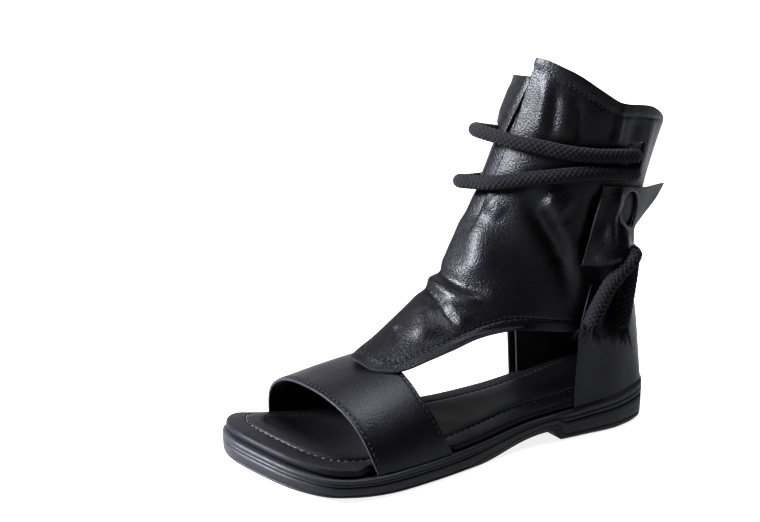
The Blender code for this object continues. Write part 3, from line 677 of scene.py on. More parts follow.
def upper_rows(turn):
    """Every section of the upper at the turns given: its foot, its lower edge, and up to the collar."""
    plan = base_plan(turn)
    rows = [place(plan[:, 0], plan[:, 1], rim_height(plan[:, 1] / LENGTH) + CLEARANCE)]
    for k, row in enumerate(SECTIONS):
        plan = ring_plan(row, turn)
        share = plan[:, 1] / LENGTH
        if k == 0:
            height = np.where(turn > 0, smooth(EDGE, 1, share), smooth(EDGE, 2, share))
        elif k == TOP - 1:
            height = smooth(COLLAR, 1, turn)
        else:
            level = np.where(np.abs(turn) < 1, row[1], row[9])
            height = row[3] + (level - row[3]) * np.cos(turn * math.pi / 2) ** 2
        rows.append(place(plan[:, 0], plan[:, 1], height * SHAFT_HEIGHT))
    return np.array(rows)


def band_crown(along):
    """Height of the band's ridge, which falls towards the toe."""
    return BAND_CROWN - BAND_CROWN_FALL * (along - smooth(BAND, 2, 0.0) * LENGTH)


def band_section(along, turn):
    """Points of the toe band's outer face, by the turns of the band's table."""
    base = rim_height(along / LENGTH) + CLEARANCE
    crown = band_crown(along)
    side = np.where(turn > 0, edge_across(1, BAND_INSET, along), edge_across(-1, BAND_INSET, along))
    full = np.where(turn > 0, BAND_FULL_LATERAL, BAND_FULL_MEDIAL)
    angle = np.abs(turn) * math.pi / 2
    across = BAND_RIDGE + (side - BAND_RIDGE) * np.sin(angle) ** (2 / full)
    height = base + (crown - base) * np.cos(angle) ** (2 / full)
    return place(across, along, height)


def band_top(across, along):
    """Height of the band's outer face above a place of the foot."""
    base = rim_height(along / LENGTH)
    lateral = across > BAND_RIDGE
    side = np.where(lateral, edge_across(1, BAND_INSET, along), edge_across(-1, BAND_INSET, along))
    full = np.where(lateral, BAND_FULL_LATERAL, BAND_FULL_MEDIAL)
    share = np.clip((across - BAND_RIDGE) / (side - BAND_RIDGE), 0, 1)
    return base + (band_crown(along) - base) * (1 - share**full) ** (1 / full)


def rest_on_band(points):
    """The vamp's tip lies on the band with its whole wall."""
    along = HEEL_MIDDLE - points[:, 1]
    near = blend(0.60 * LENGTH, 0.66 * LENGTH, along)
    top = band_top(points[:, 0], along) + 0.9 * WALL
    lifted = points.copy()
    lifted[:, 2] = np.maximum(points[:, 2], points[:, 2] + (top - points[:, 2]) * near)
    return lifted


def lift_panel(points, level, turn):
    """The lateral panel of the shaft laps over the medial one: a step in the wall at its front edge."""
    axis = place(0.0, SIDE_STATION + 0.015, 0.0)
    outward = points - axis
    outward[:, 2] = 0
    outward /= np.linalg.norm(outward, axis=1)[:, None]
    rise = blend(4.0, 6.0, level) * blend(PANEL_START, PANEL_TURN, turn) * (1 - blend(0.3, 0.9, turn))
    return points + outward * (PANEL_STEP * rise)[:, None]


def upper_surface(level, turn):
    """Outer face of the upper. Level 0 is its foot on the sole, 1 its lower edge, the last the collar."""
    level, turn = np.broadcast_arrays(np.asarray(level, float), np.asarray(turn, float))
    shape = level.shape
    level, turn = level.ravel(), turn.ravel()
    rows = upper_rows(turn)
    slope = np.empty_like(rows)
    slope[1:-1] = (rows[2:] - rows[:-2]) / 2
    slope[0] = rows[1] - rows[0]
    slope[-1] = rows[-1] - rows[-2]
    behind = blend(0.7, 1.0, np.abs(turn))[:, None]
    slope[1] = slope[1] * behind + (rows[2] - rows[1]) * (1 - behind)
    k = np.clip(level.astype(int), 0, TOP - 1)
    t = (level - k)[:, None]
    n = np.arange(len(turn))
    points = bent(t, rows[k, n], rows[k + 1, n], slope[k, n], slope[k + 1, n])
    points = lift_panel(rest_on_band(points), level, turn)
    return points.reshape(*shape, 3)


def off_upper(level, turn, distance):
    """Points that stand off the upper's outer face."""
    step = 0.02
    up = upper_surface(np.minimum(level + step, TOP), turn)
    up = up - upper_surface(np.maximum(level - step, 0), turn)
    ahead = upper_surface(level, turn + step) - upper_surface(level, turn - step)
    outward = np.cross(ahead, up)
    outward /= np.linalg.norm(outward, axis=-1, keepdims=True)
    return upper_surface(level, turn) + outward * np.asarray(distance)[..., None]


def level_of(height, turn):
    """Level of the upper at a height, for each turn."""
    levels = np.linspace(0, TOP, 8 * TOP + 1)
    heights = upper_surface(levels[:, None], np.asarray(turn)[None, :])[..., 2]
    return np.array([np.interp(h, column, levels) for h, column in zip(height, heights.T)])


def off_shaft(rows):
    """Points from rows of turn, height as a share of SHAFT_HEIGHT, and stand off in rope diameters."""
    turn, height, stand = np.array(rows).T
    return off_upper(level_of(height * SHAFT_HEIGHT, turn), turn, stand * ROPE_DIAMETER)


def nearest(points, line):
    """Distance of points from a line of points, and the share of the line where it is least."""
    flat = points.reshape(-1, 3)
    least = np.full(len(flat), np.inf)
    where = np.zeros(len(flat))
    for k, (start, end) in enumerate(zip(line[:-1], line[1:])):
        way = end - start
        share = np.clip((flat - start) @ way / max(way @ way, 1e-12), 0, 1)
        far = np.linalg.norm(flat - start - share[:, None] * way, axis=1)
        where = np.where(far < least, (k + share) / (len(line) - 1), where)
        least = np.minimum(least, far)
    return least.reshape(points.shape[:-1]), where.reshape(points.shape[:-1])


def distance_to(points, line):
    """Distance of points from a line of points."""
    return nearest(points, line)[0]


def fold_lines(folds):
    """Folds with their lines as points on the upper."""
    found = []
    for rise, half, spots in folds:
        turn, height = np.array(spots).T
        run = np.linspace(0, 1, 4 * len(spots))
        nodes = np.linspace(0, 1, len(spots))
        turn, height = np.interp(run, nodes, turn), np.interp(run, nodes, height)
        found.append((rise, half, upper_surface(level_of(height * SHAFT_HEIGHT, turn), turn)))
    return found


def hump(distance, half):
    """Soft hump, 1 in its middle."""
    return np.exp(-((distance / half) ** 2))


def relief_of(points, lines):
    """How far the folds lift each point."""
    lift = np.zeros(points.shape[:-1])
    for rise, half, line in lines:
        far, share = nearest(points, line)
        lift += rise * hump(far, half) * blend(-0.06, 0.3, share) * (1 - blend(0.7, 1.06, share))
    return lift


def hem_relief(points, edge, hem):
    """Turned hem along an edge: slightly thicker leather, and the dent of its stitch row."""
    far = distance_to(points, edge)
    return HEM_LIFT * (1 - blend(0.85 * hem, hem, far)) - HEM_DENT * hump(far - hem, HEM_DENT_HALF)


def wrap_points(column):
    """Middle line of one turn of the rope, closed."""
    outside = np.linspace(SLOT_MEDIAL + 0.16, SLOT_LATERAL - 0.16, 22)
    lying = (CURVED_CLEARANCE + ROPE_DIAMETER / 2) / ROPE_DIAMETER
    over_cuff = (CURVED_CLEARANCE + CUFF_WALL) / ROPE_DIAMETER
    arch = smooth(ARCH, 1, outside) * SHAFT_HEIGHT - ROPE_DIAMETER
    height = smooth(WRAPS, column, outside) * SHAFT_HEIGHT
    lapped = blend(arch - 0.004, arch, height) * (1 - blend(CUFF_FRONT, CUFF_FRONT + 0.08, outside))
    stand = lying + over_cuff * lapped + smooth(WRAPS, 3, outside)
    rows = list(zip(outside, height / SHAFT_HEIGHT, stand))
    for side, middle in ((1, SLOT_LATERAL), (-1, SLOT_MEDIAL)):
        path = [(middle + side * turn, stand) for turn, stand in CROSSING]
        path += [(middle + side * 0.19, -0.76), (middle + side * 0.30, -0.76)]
        path = [(turn, float(smooth(WRAPS, column, turn)), stand) for turn, stand in path]
        rows = rows + path if side > 0 else path[::-1] + rows
    return closed_curve(off_shaft(rows), 12)


def rope_dent(points):
    """The rope draws the leather in along both of its turns."""
    lift = np.zeros(points.shape[:-1])
    turn = np.linspace(SLOT_MEDIAL, SLOT_LATERAL, 60)
    for column in (1, 2):
        height = smooth(WRAPS, column, turn) * SHAFT_HEIGHT
        line = upper_surface(level_of(height, turn), turn)
        lift -= ROPE_DENT * hump(distance_to(points, line), ROPE_DENT_HALF)
    return lift


def grid_on(points, keep=None, **marks):
    """Grid moved onto a table of points, row by row, with a face where keep is true, and its marks."""
    rows, columns = points.shape[:2]
    bm = bmesh.new()
    bm.loops.layers.uv.new("UVMap")
    layers = [(bm.verts.layers.float.new(name), values) for name, values in marks.items()]
    spot = bm.verts.layers.int.new("spot")
    bmesh.ops.create_grid(bm, x_segments=columns - 1, y_segments=rows - 1, size=0.5, calc_uvs=True)
    for vert in bm.verts:
        i = round((vert.co.y + 0.5) * (rows - 1))
        j = round((vert.co.x + 0.5) * (columns - 1))
        vert[spot] = i * columns + j
        for layer, values in layers:
            vert[layer] = float(values[i, j])
    if keep is not None:
        gone = []
        for face in bm.faces:
            corner = min(vert[spot] for vert in face.verts)
            if not keep[corner // columns, corner % columns]:
                gone.append(face)
        bmesh.ops.delete(bm, geom=gone, context="FACES")
    for vert in bm.verts:
        vert.co = points[vert[spot] // columns, vert[spot] % columns]
    bm.verts.layers.int.remove(spot)
    return bm


def turned_out(bm):
    """Turn the faces of an open bmesh so that they look away from the middle of the foot."""
    bmesh.ops.recalc_face_normals(bm, faces=bm.faces)
    bm.normal_update()
    face = max(bm.faces, key=lambda one: abs(one.calc_center_median().x))
    if face.normal.x * face.calc_center_median().x < 0:
        bmesh.ops.reverse_faces(bm, faces=bm.faces)
    return bm


def claim(obj, node):
    """Say which solid of the model an object stands for."""
    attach(obj, "root")
    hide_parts(node)
    return obj


def piece(name, bm, materials, node):
    """Object from a bmesh, with its materials by their keys."""
    mesh = bpy.data.meshes.new(name)
    bm.to_mesh(mesh)
    bm.free()
    mesh.shade_smooth()
    obj = bpy.data.objects.new(name, mesh)
    bpy.context.scene.collection.objects.link(obj)
    for key in materials:
        mesh.materials.append(finish(key))
    return claim(obj, node)


def closed_piece(name, bm, material, node):
    """Object from a grid that closes on itself."""
    bmesh.ops.remove_doubles(bm, verts=bm.verts, dist=WELD)
    bmesh.ops.recalc_face_normals(bm, faces=bm.faces)
    return piece(name, bm, [material], node)


def leather_piece(name, bm, node, wall, face, rim="edge"):
    """Leather sheet with its wall on the inside, a lining there and a cut edge all round."""
    bmesh.ops.remove_doubles(bm, verts=bm.verts, dist=WELD / 2)
    obj = piece(name, turned_out(bm), [face, "lining", rim], node)
    solid = obj.modifiers.new("wall", "SOLIDIFY")
    solid.thickness = wall
    solid.offset = -1
    solid.material_offset = 1
    solid.material_offset_rim = 2
    edge = obj.modifiers.new("edge", "BEVEL")
    edge.width = 0.22 * wall
    edge.segments = 2
    edge.limit_method = "ANGLE"
    edge.angle_limit = math.radians(60)
    return obj


def add(tree, kind, inputs=None, **settings):
    """Shader node of a kind, with its settings, and its inputs as values or as sockets that feed them."""
    made = tree.nodes.new("ShaderNode" + kind)
    for name, value in settings.items():
        setattr(made, name, value)
    for name, value in (inputs or {}).items():
        if isinstance(value, bpy.types.NodeSocket):
            tree.links.new(value, made.inputs[name])
        else:
            made.inputs[name].default_value = value
    return made


def blank(name):
    """Material with its tree, its shader and the places of the object."""
    material = bpy.data.materials.new(name)
    material.use_nodes = True
    tree = material.node_tree
    return material, tree, tree.nodes["Principled BSDF"], add(tree, "TexCoord").outputs["Object"]


def feed(tree, shader, **sockets):
    for name, socket in sockets.items():
        tree.links.new(socket, shader.inputs[name.replace("_", " ").title()])


def fix(shader, numbers):
    """Numbers that are the same all over the surface."""
    for name, number in numbers.items():
        shader.inputs[name].default_value = number


def noise(tree, where, scale, detail=2.0, **more):
    return add(tree, "TexNoise", {"Vector": where, "Scale": scale, "Detail": detail, **more}).outputs["Fac"]


def ranged(tree, value, source, target):
    """Value carried from one range over to another."""
    ends = {"From Min": source[0], "From Max": source[1], "To Min": target[0], "To Max": target[1]}
    return add(tree, "MapRange", {"Value": value, **ends}).outputs[0]


def shaded(tree, tone, *factors):
    """Tone multiplied by every factor."""
    product = factors[0]
    for factor in factors[1:]:
        product = add(tree, "Math", {0: product, 1: factor}, operation="MULTIPLY").outputs[0]
    return add(tree, "VectorMath", {0: tuple(tone[:3]), "Scale": product}, operation="SCALE").outputs[0]


def bump(tree, height, strength, distance, under=None, invert=False):
    """Normal that a height bends, on top of the normal under it."""
    inputs = {"Height": height, "Strength": strength, "Distance": distance}
    if under is not None:
        inputs["Normal"] = under
    return add(tree, "Bump", inputs, invert=invert).outputs[0]


def leather(name, tone, grain, depth, roughness, coat, mottle=0.25, sheen=0.0):
    """Tanned hide with its grain pressed in: pebbles and fine pores, painted shade in the fold troughs and
    dents with painted light on the fold ridges, and painted shade between the pebbles against lighter
    pebble tops.
    """
    material, tree, shader, where = blank(name)
    lay = {"Vector": where, "Scale": (1.0, 0.9, 1.1), "Rotation": (0.5, 0.3, 0.4)}
    stretched = add(tree, "Mapping", lay).outputs[0]
    warp = add(tree, "TexNoise", {"Vector": stretched, "Scale": 0.5 / grain, "Detail": 2.0})
    pushed = {0: warp.outputs["Color"], "Scale": 0.55 * grain}
    pushed = add(tree, "VectorMath", pushed, operation="SCALE").outputs[0]
    moved = add(tree, "VectorMath", {0: stretched, 1: pushed}, operation="ADD").outputs[0]
    cells = {"Vector": moved, "Scale": 1 / grain, "Smoothness": 0.5}
    pebble = add(tree, "TexVoronoi", cells, feature="SMOOTH_F1").outputs["Distance"]
    pore = noise(tree, where, 2.6 / grain, 3.0)
    hide = noise(tree, where, 55.0, 4.0, Roughness=0.6)
    cloud = noise(tree, where, 26.0)
    mark = add(tree, "Attribute", attribute_name="relief").outputs["Fac"]
    # Painted shade and light from each piece's relief: darker in fold troughs and in the dents of hems,
    # stitches, rope and the footbed's channel, lighter on fold ridges
    relief_shade_and_light = ranged(tree, mark, (-0.0022, 0.0015), (0.62, 1.22))
    patch = ranged(tree, hide, NOISE_REACH, (1 - mottle, 1 + mottle))
    # Painted shade between the pebbles, lighter on their tops
    crown = ranged(tree, pebble, (0.1, 0.75), (1.10, 0.80))
    dull = ranged(tree, cloud, NOISE_REACH, (roughness - 0.05, roughness + 0.07))
    low = bump(tree, hide, 0.5, 0.0006)
    mid = bump(tree, pebble, 1.0, depth, low, True)
    fine = bump(tree, pore, 0.5, 0.35 * depth, mid)
    feed(tree, shader, base_color=shaded(tree, tone, relief_shade_and_light, patch, crown), roughness=dull, normal=fine)
    fix(shader, {"IOR": 1.5, "Specular IOR Level": 0.17, "Coat Weight": coat, "Coat Roughness": 0.32})
    fix(shader, {"Sheen Weight": sheen, "Sheen Roughness": 0.5})
    return material


def cut_edge(name, tone):
    """Raw edge of split leather: pale, fibrous and matte."""
    material, tree, shader, where = blank(name)
    fibre = noise(tree, where, 1400.0, 3.0)
    level = ranged(tree, fibre, NOISE_REACH, (0.70, 1.15))
    wear = ranged(tree, noise(tree, where, 120.0), NOISE_REACH, (0.75, 1.15))
    rough = bump(tree, fibre, 0.6, 0.0002)
    feed(tree, shader, base_color=shaded(tree, tone, level, wear), normal=rough)
    fix(shader, {"Roughness": 0.8})
    return material


def rubber(name, tone):
    """Moulded rubber: satin skin with fine mould texture, dust in it and soft scuffs along its height."""
    material, tree, shader, where = blank(name)
    skin = noise(tree, where, 1500.0)
    drawn = add(tree, "Mapping", {"Vector": where, "Scale": (60.0, 60.0, 420.0)}).outputs[0]
    scuff = noise(tree, drawn, 1.0, 4.0, Roughness=0.65)
    level = ranged(tree, scuff, (0.3, 0.75), (0.86, 1.16))
    patch = ranged(tree, noise(tree, where, 30.0, 3.0), NOISE_REACH, (0.90, 1.10))
    dull = ranged(tree, scuff, NOISE_REACH, (0.50, 0.66))
    fine = bump(tree, skin, 0.35, 0.00012, bump(tree, scuff, 0.25, 0.0003))
    feed(tree, shader, base_color=shaded(tree, tone, level, patch), roughness=dull, normal=fine)
    fix(shader, {"Specular IOR Level": 0.3})
    return material


def braided_cotton(name, tone, strands):
    """Braided cotton cord: yarns along each strand, painted shade in the gaps between the strands, soft
    fuzz and a matte face.
    """
    material, tree, shader, where = blank(name)
    spot = add(tree, "UVMap", uv_map="UVMap").outputs[0]
    lay = add(tree, "Attribute", attribute_name="lay").outputs["Fac"]
    mark = add(tree, "Attribute", attribute_name="relief").outputs["Fac"]
    turn = 2 * math.pi * YARNS
    yarns = []
    for side in (1.0, -1.0):
        across = {0: spot, 1: (side * turn, strands * turn, 0.0)}
        phase = add(tree, "VectorMath", across, operation="DOT_PRODUCT").outputs["Value"]
        yarns.append(add(tree, "Math", {0: phase}, operation="SINE").outputs[0])
    yarn = add(tree, "Mix", {"Factor": lay, "A": yarns[1], "B": yarns[0]}).outputs[0]
    # Painted shade in the gaps between the strands, from each strand's height
    height = ranged(tree, mark, (0.35, 1.0), (0.2, 1.0))
    stripe = ranged(tree, yarn, (-1.0, 1.0), (0.78, 1.16))
    patch = ranged(tree, noise(tree, where, 140.0), NOISE_REACH, (0.78, 1.22))
    low = bump(tree, yarn, 0.5, 0.00012)
    fine = bump(tree, noise(tree, where, 1600.0, 3.0), 0.8, 0.00022, low)
    feed(tree, shader, base_color=shaded(tree, tone, height, stripe, patch), normal=fine)
    fix(shader, {"Roughness": 0.85, "Specular IOR Level": 0.2})
    fix(shader, {"Sheen Weight": 0.04, "Sheen Roughness": 0.45})
    return material


def cotton_yarn(name, tone, roughness=0.75):
    """Twisted yarn of the frayed ends and the stitches."""
    material, tree, shader, where = blank(name)
    twist = noise(tree, where, 900.0)
    level = ranged(tree, twist, NOISE_REACH, (0.70, 1.25))
    feed(tree, shader, base_color=shaded(tree, tone, level), normal=bump(tree, twist, 0.5, 0.0001))
    fix(shader, {"Roughness": roughness, "Specular IOR Level": 0.2})
    return material


MATERIALS = {}


def finish(key):
    """Materials of the boot, each made once."""
    tone = bpy.context.scene.boot_colours
    sizes = bpy.context.scene.boot_sizes
    grain, fine = sizes.grain, 0.8 * sizes.grain
    makers = {
        # Calf with a pressed pebble grain: broken highlights, soft gloss
        "pebbled": lambda: leather("pebbled_calf", tone.leather, grain, 0.00023, 0.41, 0.04),
        # Calf with a smooth face: calm broad highlights
        "smooth": lambda: leather("smooth_calf", tone.smooth_leather, fine, 0.00014, 0.42, 0.04, 0.15),
        # Sheepskin lining: matte and even
        "lining": lambda: leather("sheepskin_lining", tone.lining, fine, 0.00008, 0.68, 0.0, 0.2, 0.1),
        # Footbed leather, brushed: dull, with a faint grain
        "footbed": lambda: leather("brushed_calf", tone.footbed, grain, 0.00010, 0.58, 0.0, 0.22),
        # Edge of the hide left raw: greyer than its face
        "edge": lambda: cut_edge("raw_leather_edge", tone.cut_edge),
        # The same edge where the light core of the hide shows
        "pale_edge": lambda: cut_edge("raw_split_edge", linear(PALE_EDGE)),
        # Vulcanised rubber: satin grey-black
        "rubber": lambda: rubber("moulded_rubber", tone.rubber),
        # Round braid of waxed cotton: matte with deep gaps
        "rope": lambda: braided_cotton("braided_cotton", tone.rope, sizes.strands),
        # Loose yarn at the rope's open ends
        "yarn": lambda: cotton_yarn("frayed_cotton", tone.rope),
        # Bonded thread: slightly lighter than the leather
        "thread": lambda: cotton_yarn("bonded_thread", tone.thread, 0.5),
        # Thread of the footbed, glossier than the other thread; its lighter tone is partly its own and
        # partly a painted glint
        "bed_thread_and_glint": lambda: cotton_yarn("bed_thread_painted_glint", linear(BED_THREAD_TONE_AND_GLINT), 0.4),
    }
    if key not in MATERIALS:
        MATERIALS[key] = makers[key]()
    return MATERIALS[key]


TURNS = spans(
    (-2.0, GAP_MEDIAL, 16),
    (GAP_MEDIAL, SLOT_MEDIAL - SLOT_HALF_TURN, 2),
    (SLOT_MEDIAL - SLOT_HALF_TURN, SLOT_MEDIAL + SLOT_HALF_TURN, 12),
    (SLOT_MEDIAL + SLOT_HALF_TURN, -1.0, 14),
    (-1.0, COUNTER_MEDIAL - COUNTER_OVERLAP, 8),
    (COUNTER_MEDIAL - COUNTER_OVERLAP, 0.0, 74),
    (0.0, PANEL_START, 10),
    (PANEL_START, PANEL_TURN, 4),
    (PANEL_TURN, COUNTER_LATERAL + COUNTER_OVERLAP, 84),
    (COUNTER_LATERAL + COUNTER_OVERLAP, SLOT_LATERAL - SLOT_HALF_TURN, 14),
    (SLOT_LATERAL - SLOT_HALF_TURN, SLOT_LATERAL + SLOT_HALF_TURN, 12),
    (SLOT_LATERAL + SLOT_HALF_TURN, GAP_LATERAL - 0.12, 22),
    (GAP_LATERAL - 0.12, GAP_LATERAL, 6),
    (GAP_LATERAL, 2.0, 8),
)
LEVELS = spans(
    (0.0, 1.0, 12),
    (1.0, COUNTER_LEVEL, 38),
    (COUNTER_LEVEL, SLOT_LOW, 44),
    (SLOT_LOW, SLOT_HIGH, 18),
    (SLOT_HIGH, TOP, 22),
)


def hem_lines():
    """Edges of the upper that carry a turned hem: over the side openings and the tip, and the collar."""
    turn = np.linspace(COUNTER_MEDIAL, COUNTER_LATERAL, 160)
    collar = np.linspace(PANEL_TURN, GAP_LATERAL, 80)
    return upper_surface(1.0, turn), upper_surface(float(TOP), collar)


def upper_lift(points):
    """Relief of the shaft and the vamp: folds, hems and the rope's pull."""
    hem = bpy.context.scene.boot_sizes.hem
    lower, collar = hem_lines()
    lift = relief_of(points, fold_lines(FOLDS))
    return lift + hem_relief(points, lower, hem) + hem_relief(points, collar, hem) + rope_dent(points)


def round_corner(level, turn):
    """Round the wing's corner between the collar and the back opening."""
    before = np.maximum(0, CORNER_TURN - turn) * math.pi / 2
    near = np.clip(1 - CORNER_TIGHT * (1 - np.cos(before)), 0, 1) * (turn < GAP_LATERAL + 0.001)
    return level - CORNER_DROP * (1 - np.sqrt(1 - near**2)) * blend(6.6, 8.0, level)


def upper_face(level, turn):
    """Outer face of the upper with its relief."""
    level = round_corner(level, turn)
    lift = upper_lift(upper_surface(level, turn))
    return off_upper(level, turn, lift), lift


class BOOT_OT_outsole(bpy.types.Operator):
    """Rubber unit sole with its grooves and the tread under it"""

    bl_idname = "boot.outsole"
    bl_label = "Outsole"

    def execute(self, context):
        stations = stations_of(261)
        floor = floor_height(stations)
        rim = rim_height(stations)
        along = stations * LENGTH
        waist = blend(HEEL_BREAST, HEEL_BREAST + HEEL_BREAST_SLOPE, along) * (
            1 - blend(FOREFOOT_START - 0.01, FOREFOOT_START + 0.01, along)
        )
        lip = floor + 0.0008 + 0.0025 * waist
        bar = blend(0.25, 0.45, np.abs(np.mod(along / TREAD_PITCH, 1) - 0.5) * 2)
        bare = (1 - bar) * (1 - blend(0.0, 0.2, waist))
        tread = TREAD_DEPTH * bare
        rows = [loop_inside(share, 0.0030, floor + tread) for share in (0.0, 0.3, 0.6, 0.85)]
        rows += [loop_inside(share, 0.0030, floor) for share in (0.88, 1.0)]
        for share, inset in SOLE_WALL:
            low = share < 0.05
            height = lip + (rim - lip) * share + NOTCH_HEIGHT * bare * low
            rows.append(sole_loop(inset + NOTCH_DEPTH * low, height, stations))
        rows += [sole_loop(0.0045, rim, stations)]
        rows += [loop_inside(share, 0.0090, rim) for share in (1.0, 0.0)]
        closed_piece("sole_unit", grid_on(np.array(rows)), "rubber", "outsole")
        return {"FINISHED"}


def stations_of(count):
    """Shares of the sole's length, close together at both ends."""
    return (1 - np.cos(np.linspace(0, math.pi, count))) / 2


def sole_loop(inset, height, stations):
    """Closed loop round the foot at an inset, with its height at each station."""
    lateral, medial = sole_edges(inset)
    start, end = lateral[0, 0], lateral[-1, 0]
    along = start + (end - start) * stations
    right = place(np.interp(along, lateral[:, 0], lateral[:, 1]), along, height)
    left = place(np.interp(along, medial[:, 0], medial[:, 1]), along, height)
    return np.concatenate([right, left[-2::-1]])


def loop_inside(share, inset, height):
    """Loop drawn from the inset outline towards its middle line, where share is 0."""
    loop = sole_loop(inset, height, stations_of(len(height)))
    middle = (loop + loop[::-1]) / 2
    return middle + (loop - middle) * share


def bed_loop(inset, height, stations):
    """Loop of the footbed, which reaches the rubber's lip wherever the leather doesn't stand there."""
    band = blend(0.585, 0.615, stations) * (1 - blend(0.80, 0.83, stations))
    under = band + 1 - blend(0.22, 0.25, stations)
    wide = sole_loop(inset - 0.0033, height, stations)
    narrow = sole_loop(inset, height, stations)
    share = np.concatenate([under, under[-2::-1]])[:, None]
    return wide + (narrow - wide) * share


class BOOT_OT_footbed(bpy.types.Operator):
    """Padded footbed: rolled rim, stitched channel and the cushion that the foot has shaped"""

    bl_idname = "boot.footbed"
    bl_label = "Footbed"

    def execute(self, context):
        stations = stations_of(241)
        base = rim_height(stations) + CLEARANCE
        rows = [loop_inside(share, BED_INSET + 0.0012, base) for share in (0.0, 0.6, 1.0)]
        for angle in np.linspace(-0.5 * math.pi, 0.5 * math.pi, 12):
            inset = BED_INSET + 0.0022 * (1 - math.cos(angle))
            rows.append(bed_loop(inset, base + BED_THICKNESS * (0.5 + 0.5 * math.sin(angle)), stations))
        top = base + BED_THICKNESS
        rows.append(bed_loop(BED_INSET + 0.0032, top, stations))
        rim = len(rows)
        for inset, dip in CHANNEL:
            rows.append(sole_loop(BED_CHANNEL + inset, top - dip, stations))
        inset, dip = CHANNEL[-1]
        for share in (0.85, 0.7, 0.5, 0.3, 0.12, 0.0):
            rows.append(loop_inside(share, BED_CHANNEL + inset, top - dip - 0.0006 * (1 - share**2)))
        points = np.array(rows)
        along = HEEL_MIDDLE - points[..., 1]
        soft = 0.00025 * np.sin(along / 0.011) * np.sin(points[..., 0] / 0.009 + 1.0)
        row = np.arange(len(rows))[:, None]
        points[..., 2] += soft * (row > rim + 5)
        # Painted shade in the channel: its three deepest rows are marked sunk by 1.2 mm, which darkens the
        # leather there without moving it
        marks = -0.0012 * ((row > rim + 1) & (row < rim + 5)) * np.ones(points.shape[:2])
        closed_piece("insole", grid_on(points, relief=marks), "footbed", "footbed")
        return {"FINISHED"}


class BOOT_OT_upper(bpy.types.Operator):
    """Shaft and vamp with their folds, hems, slots and back opening, and the toe band"""

    bl_idname = "boot.upper"
    bl_label = "Upper"

    def execute(self, context):
        level, turn = np.meshgrid(LEVELS, TURNS, indexing="ij")
        points, lift = upper_face(level, turn)
        middle = ((TURNS[:-1] + TURNS[1:]) / 2)[None, :]
        height = ((LEVELS[:-1] + LEVELS[1:]) / 2)[:, None]
        heel = (middle > COUNTER_LATERAL + COUNTER_OVERLAP) | (middle < COUNTER_MEDIAL - COUNTER_OVERLAP)
        gap = (middle > GAP_LATERAL) | (middle < GAP_MEDIAL)
        slot = np.abs(middle - SLOT_LATERAL) < SLOT_HALF_TURN
        slot |= np.abs(middle - SLOT_MEDIAL) < SLOT_HALF_TURN
        keep = (height > 1) | heel
        keep &= ~(gap & (height > COUNTER_LEVEL))
        keep &= ~(slot & (height > SLOT_LOW) & (height < SLOT_HIGH))
        leather_piece("shaft_and_vamp", grid_on(points, keep, relief=lift), "upper", WALL, "pebbled")
        turn = np.linspace(1, -1, 141)
        share = np.linspace(0, 1, 49)
        front = LENGTH * smooth(BAND, 1, turn)
        rear = LENGTH * smooth(BAND, 2, turn)
        along = front[None, :] + (rear - front)[None, :] * share[:, None]
        points = band_section(along, turn[None, :])
        edge = np.minimum(distance_to(points, points[0]), distance_to(points, points[-1]))
        marks = -0.0005 * hump(edge - 0.0020, 0.0007) - 0.0003 * hump(edge, 0.0012)
        points[..., 2] += marks
        leather_piece("toe_band", grid_on(points, relief=marks), "upper", BAND_WALL, "smooth")
        return {"FINISHED"}


class BOOT_OT_cuff(bpy.types.Operator):
    """Second layer on the medial side of the shaft, with its arched raw edge"""

    bl_idname = "boot.cuff"
    bl_label = "Cuff"

    def execute(self, context):
        turn = np.linspace(CUFF_REAR, CUFF_FRONT, 121)
        low = level_of(smooth(ARCH, 1, turn) * SHAFT_HEIGHT, turn)
        level = low[None, :] + (TOP - low[None, :]) * np.linspace(0, 1, 61)[:, None]
        turn = np.broadcast_to(turn, level.shape)
        base = upper_surface(level, turn)
        lift = relief_of(base, fold_lines(CUFF_FOLDS)) + 0.4 * rope_dent(base)
        lift = np.maximum(lift, -0.0004)
        stand = 1.4 * CURVED_CLEARANCE + CUFF_WALL + lift
        points = off_upper(level, turn, stand)
        leather_piece("cuff_layer", grid_on(points, relief=lift), "cuff", CUFF_WALL, "pebbled", "pale_edge")
        return {"FINISHED"}


class BOOT_OT_heel_counter(bpy.types.Operator):
    """Smooth counter round the back of the heel"""

    bl_idname = "boot.heel_counter"
    bl_label = "Heel counter"

    def execute(self, context):
        run = np.linspace(COUNTER_LATERAL, 4 + COUNTER_MEDIAL, 141)
        turn = np.where(run > 2, run - 4, run)
        level, turn = np.meshgrid(np.linspace(0, COUNTER_LEVEL, 61), turn, indexing="ij")
        points = off_upper(level, turn, np.full(level.shape, CURVED_CLEARANCE + COUNTER_WALL))
        rim = rim_height((HEEL_MIDDLE - points[..., 1]) / LENGTH) + CLEARANCE
        points[..., 2] = np.maximum(points[..., 2], rim)
        points[0, :, 2] = rim[0]
        far = np.minimum(distance_to(points, points[:, 0]), distance_to(points, points[:, -1]))
        far = np.minimum(far, distance_to(points, points[-1]))
        marks = -0.0005 * hump(far - 0.0020, 0.0008)
        out = points - points.mean(axis=(0, 1))
        out[..., 2] = 0
        points += out / np.linalg.norm(out, axis=-1, keepdims=True) * marks[..., None]
        leather_piece("counter", grid_on(points, relief=marks), "heel_counter", COUNTER_WALL, "smooth")
        return {"FINISHED"}


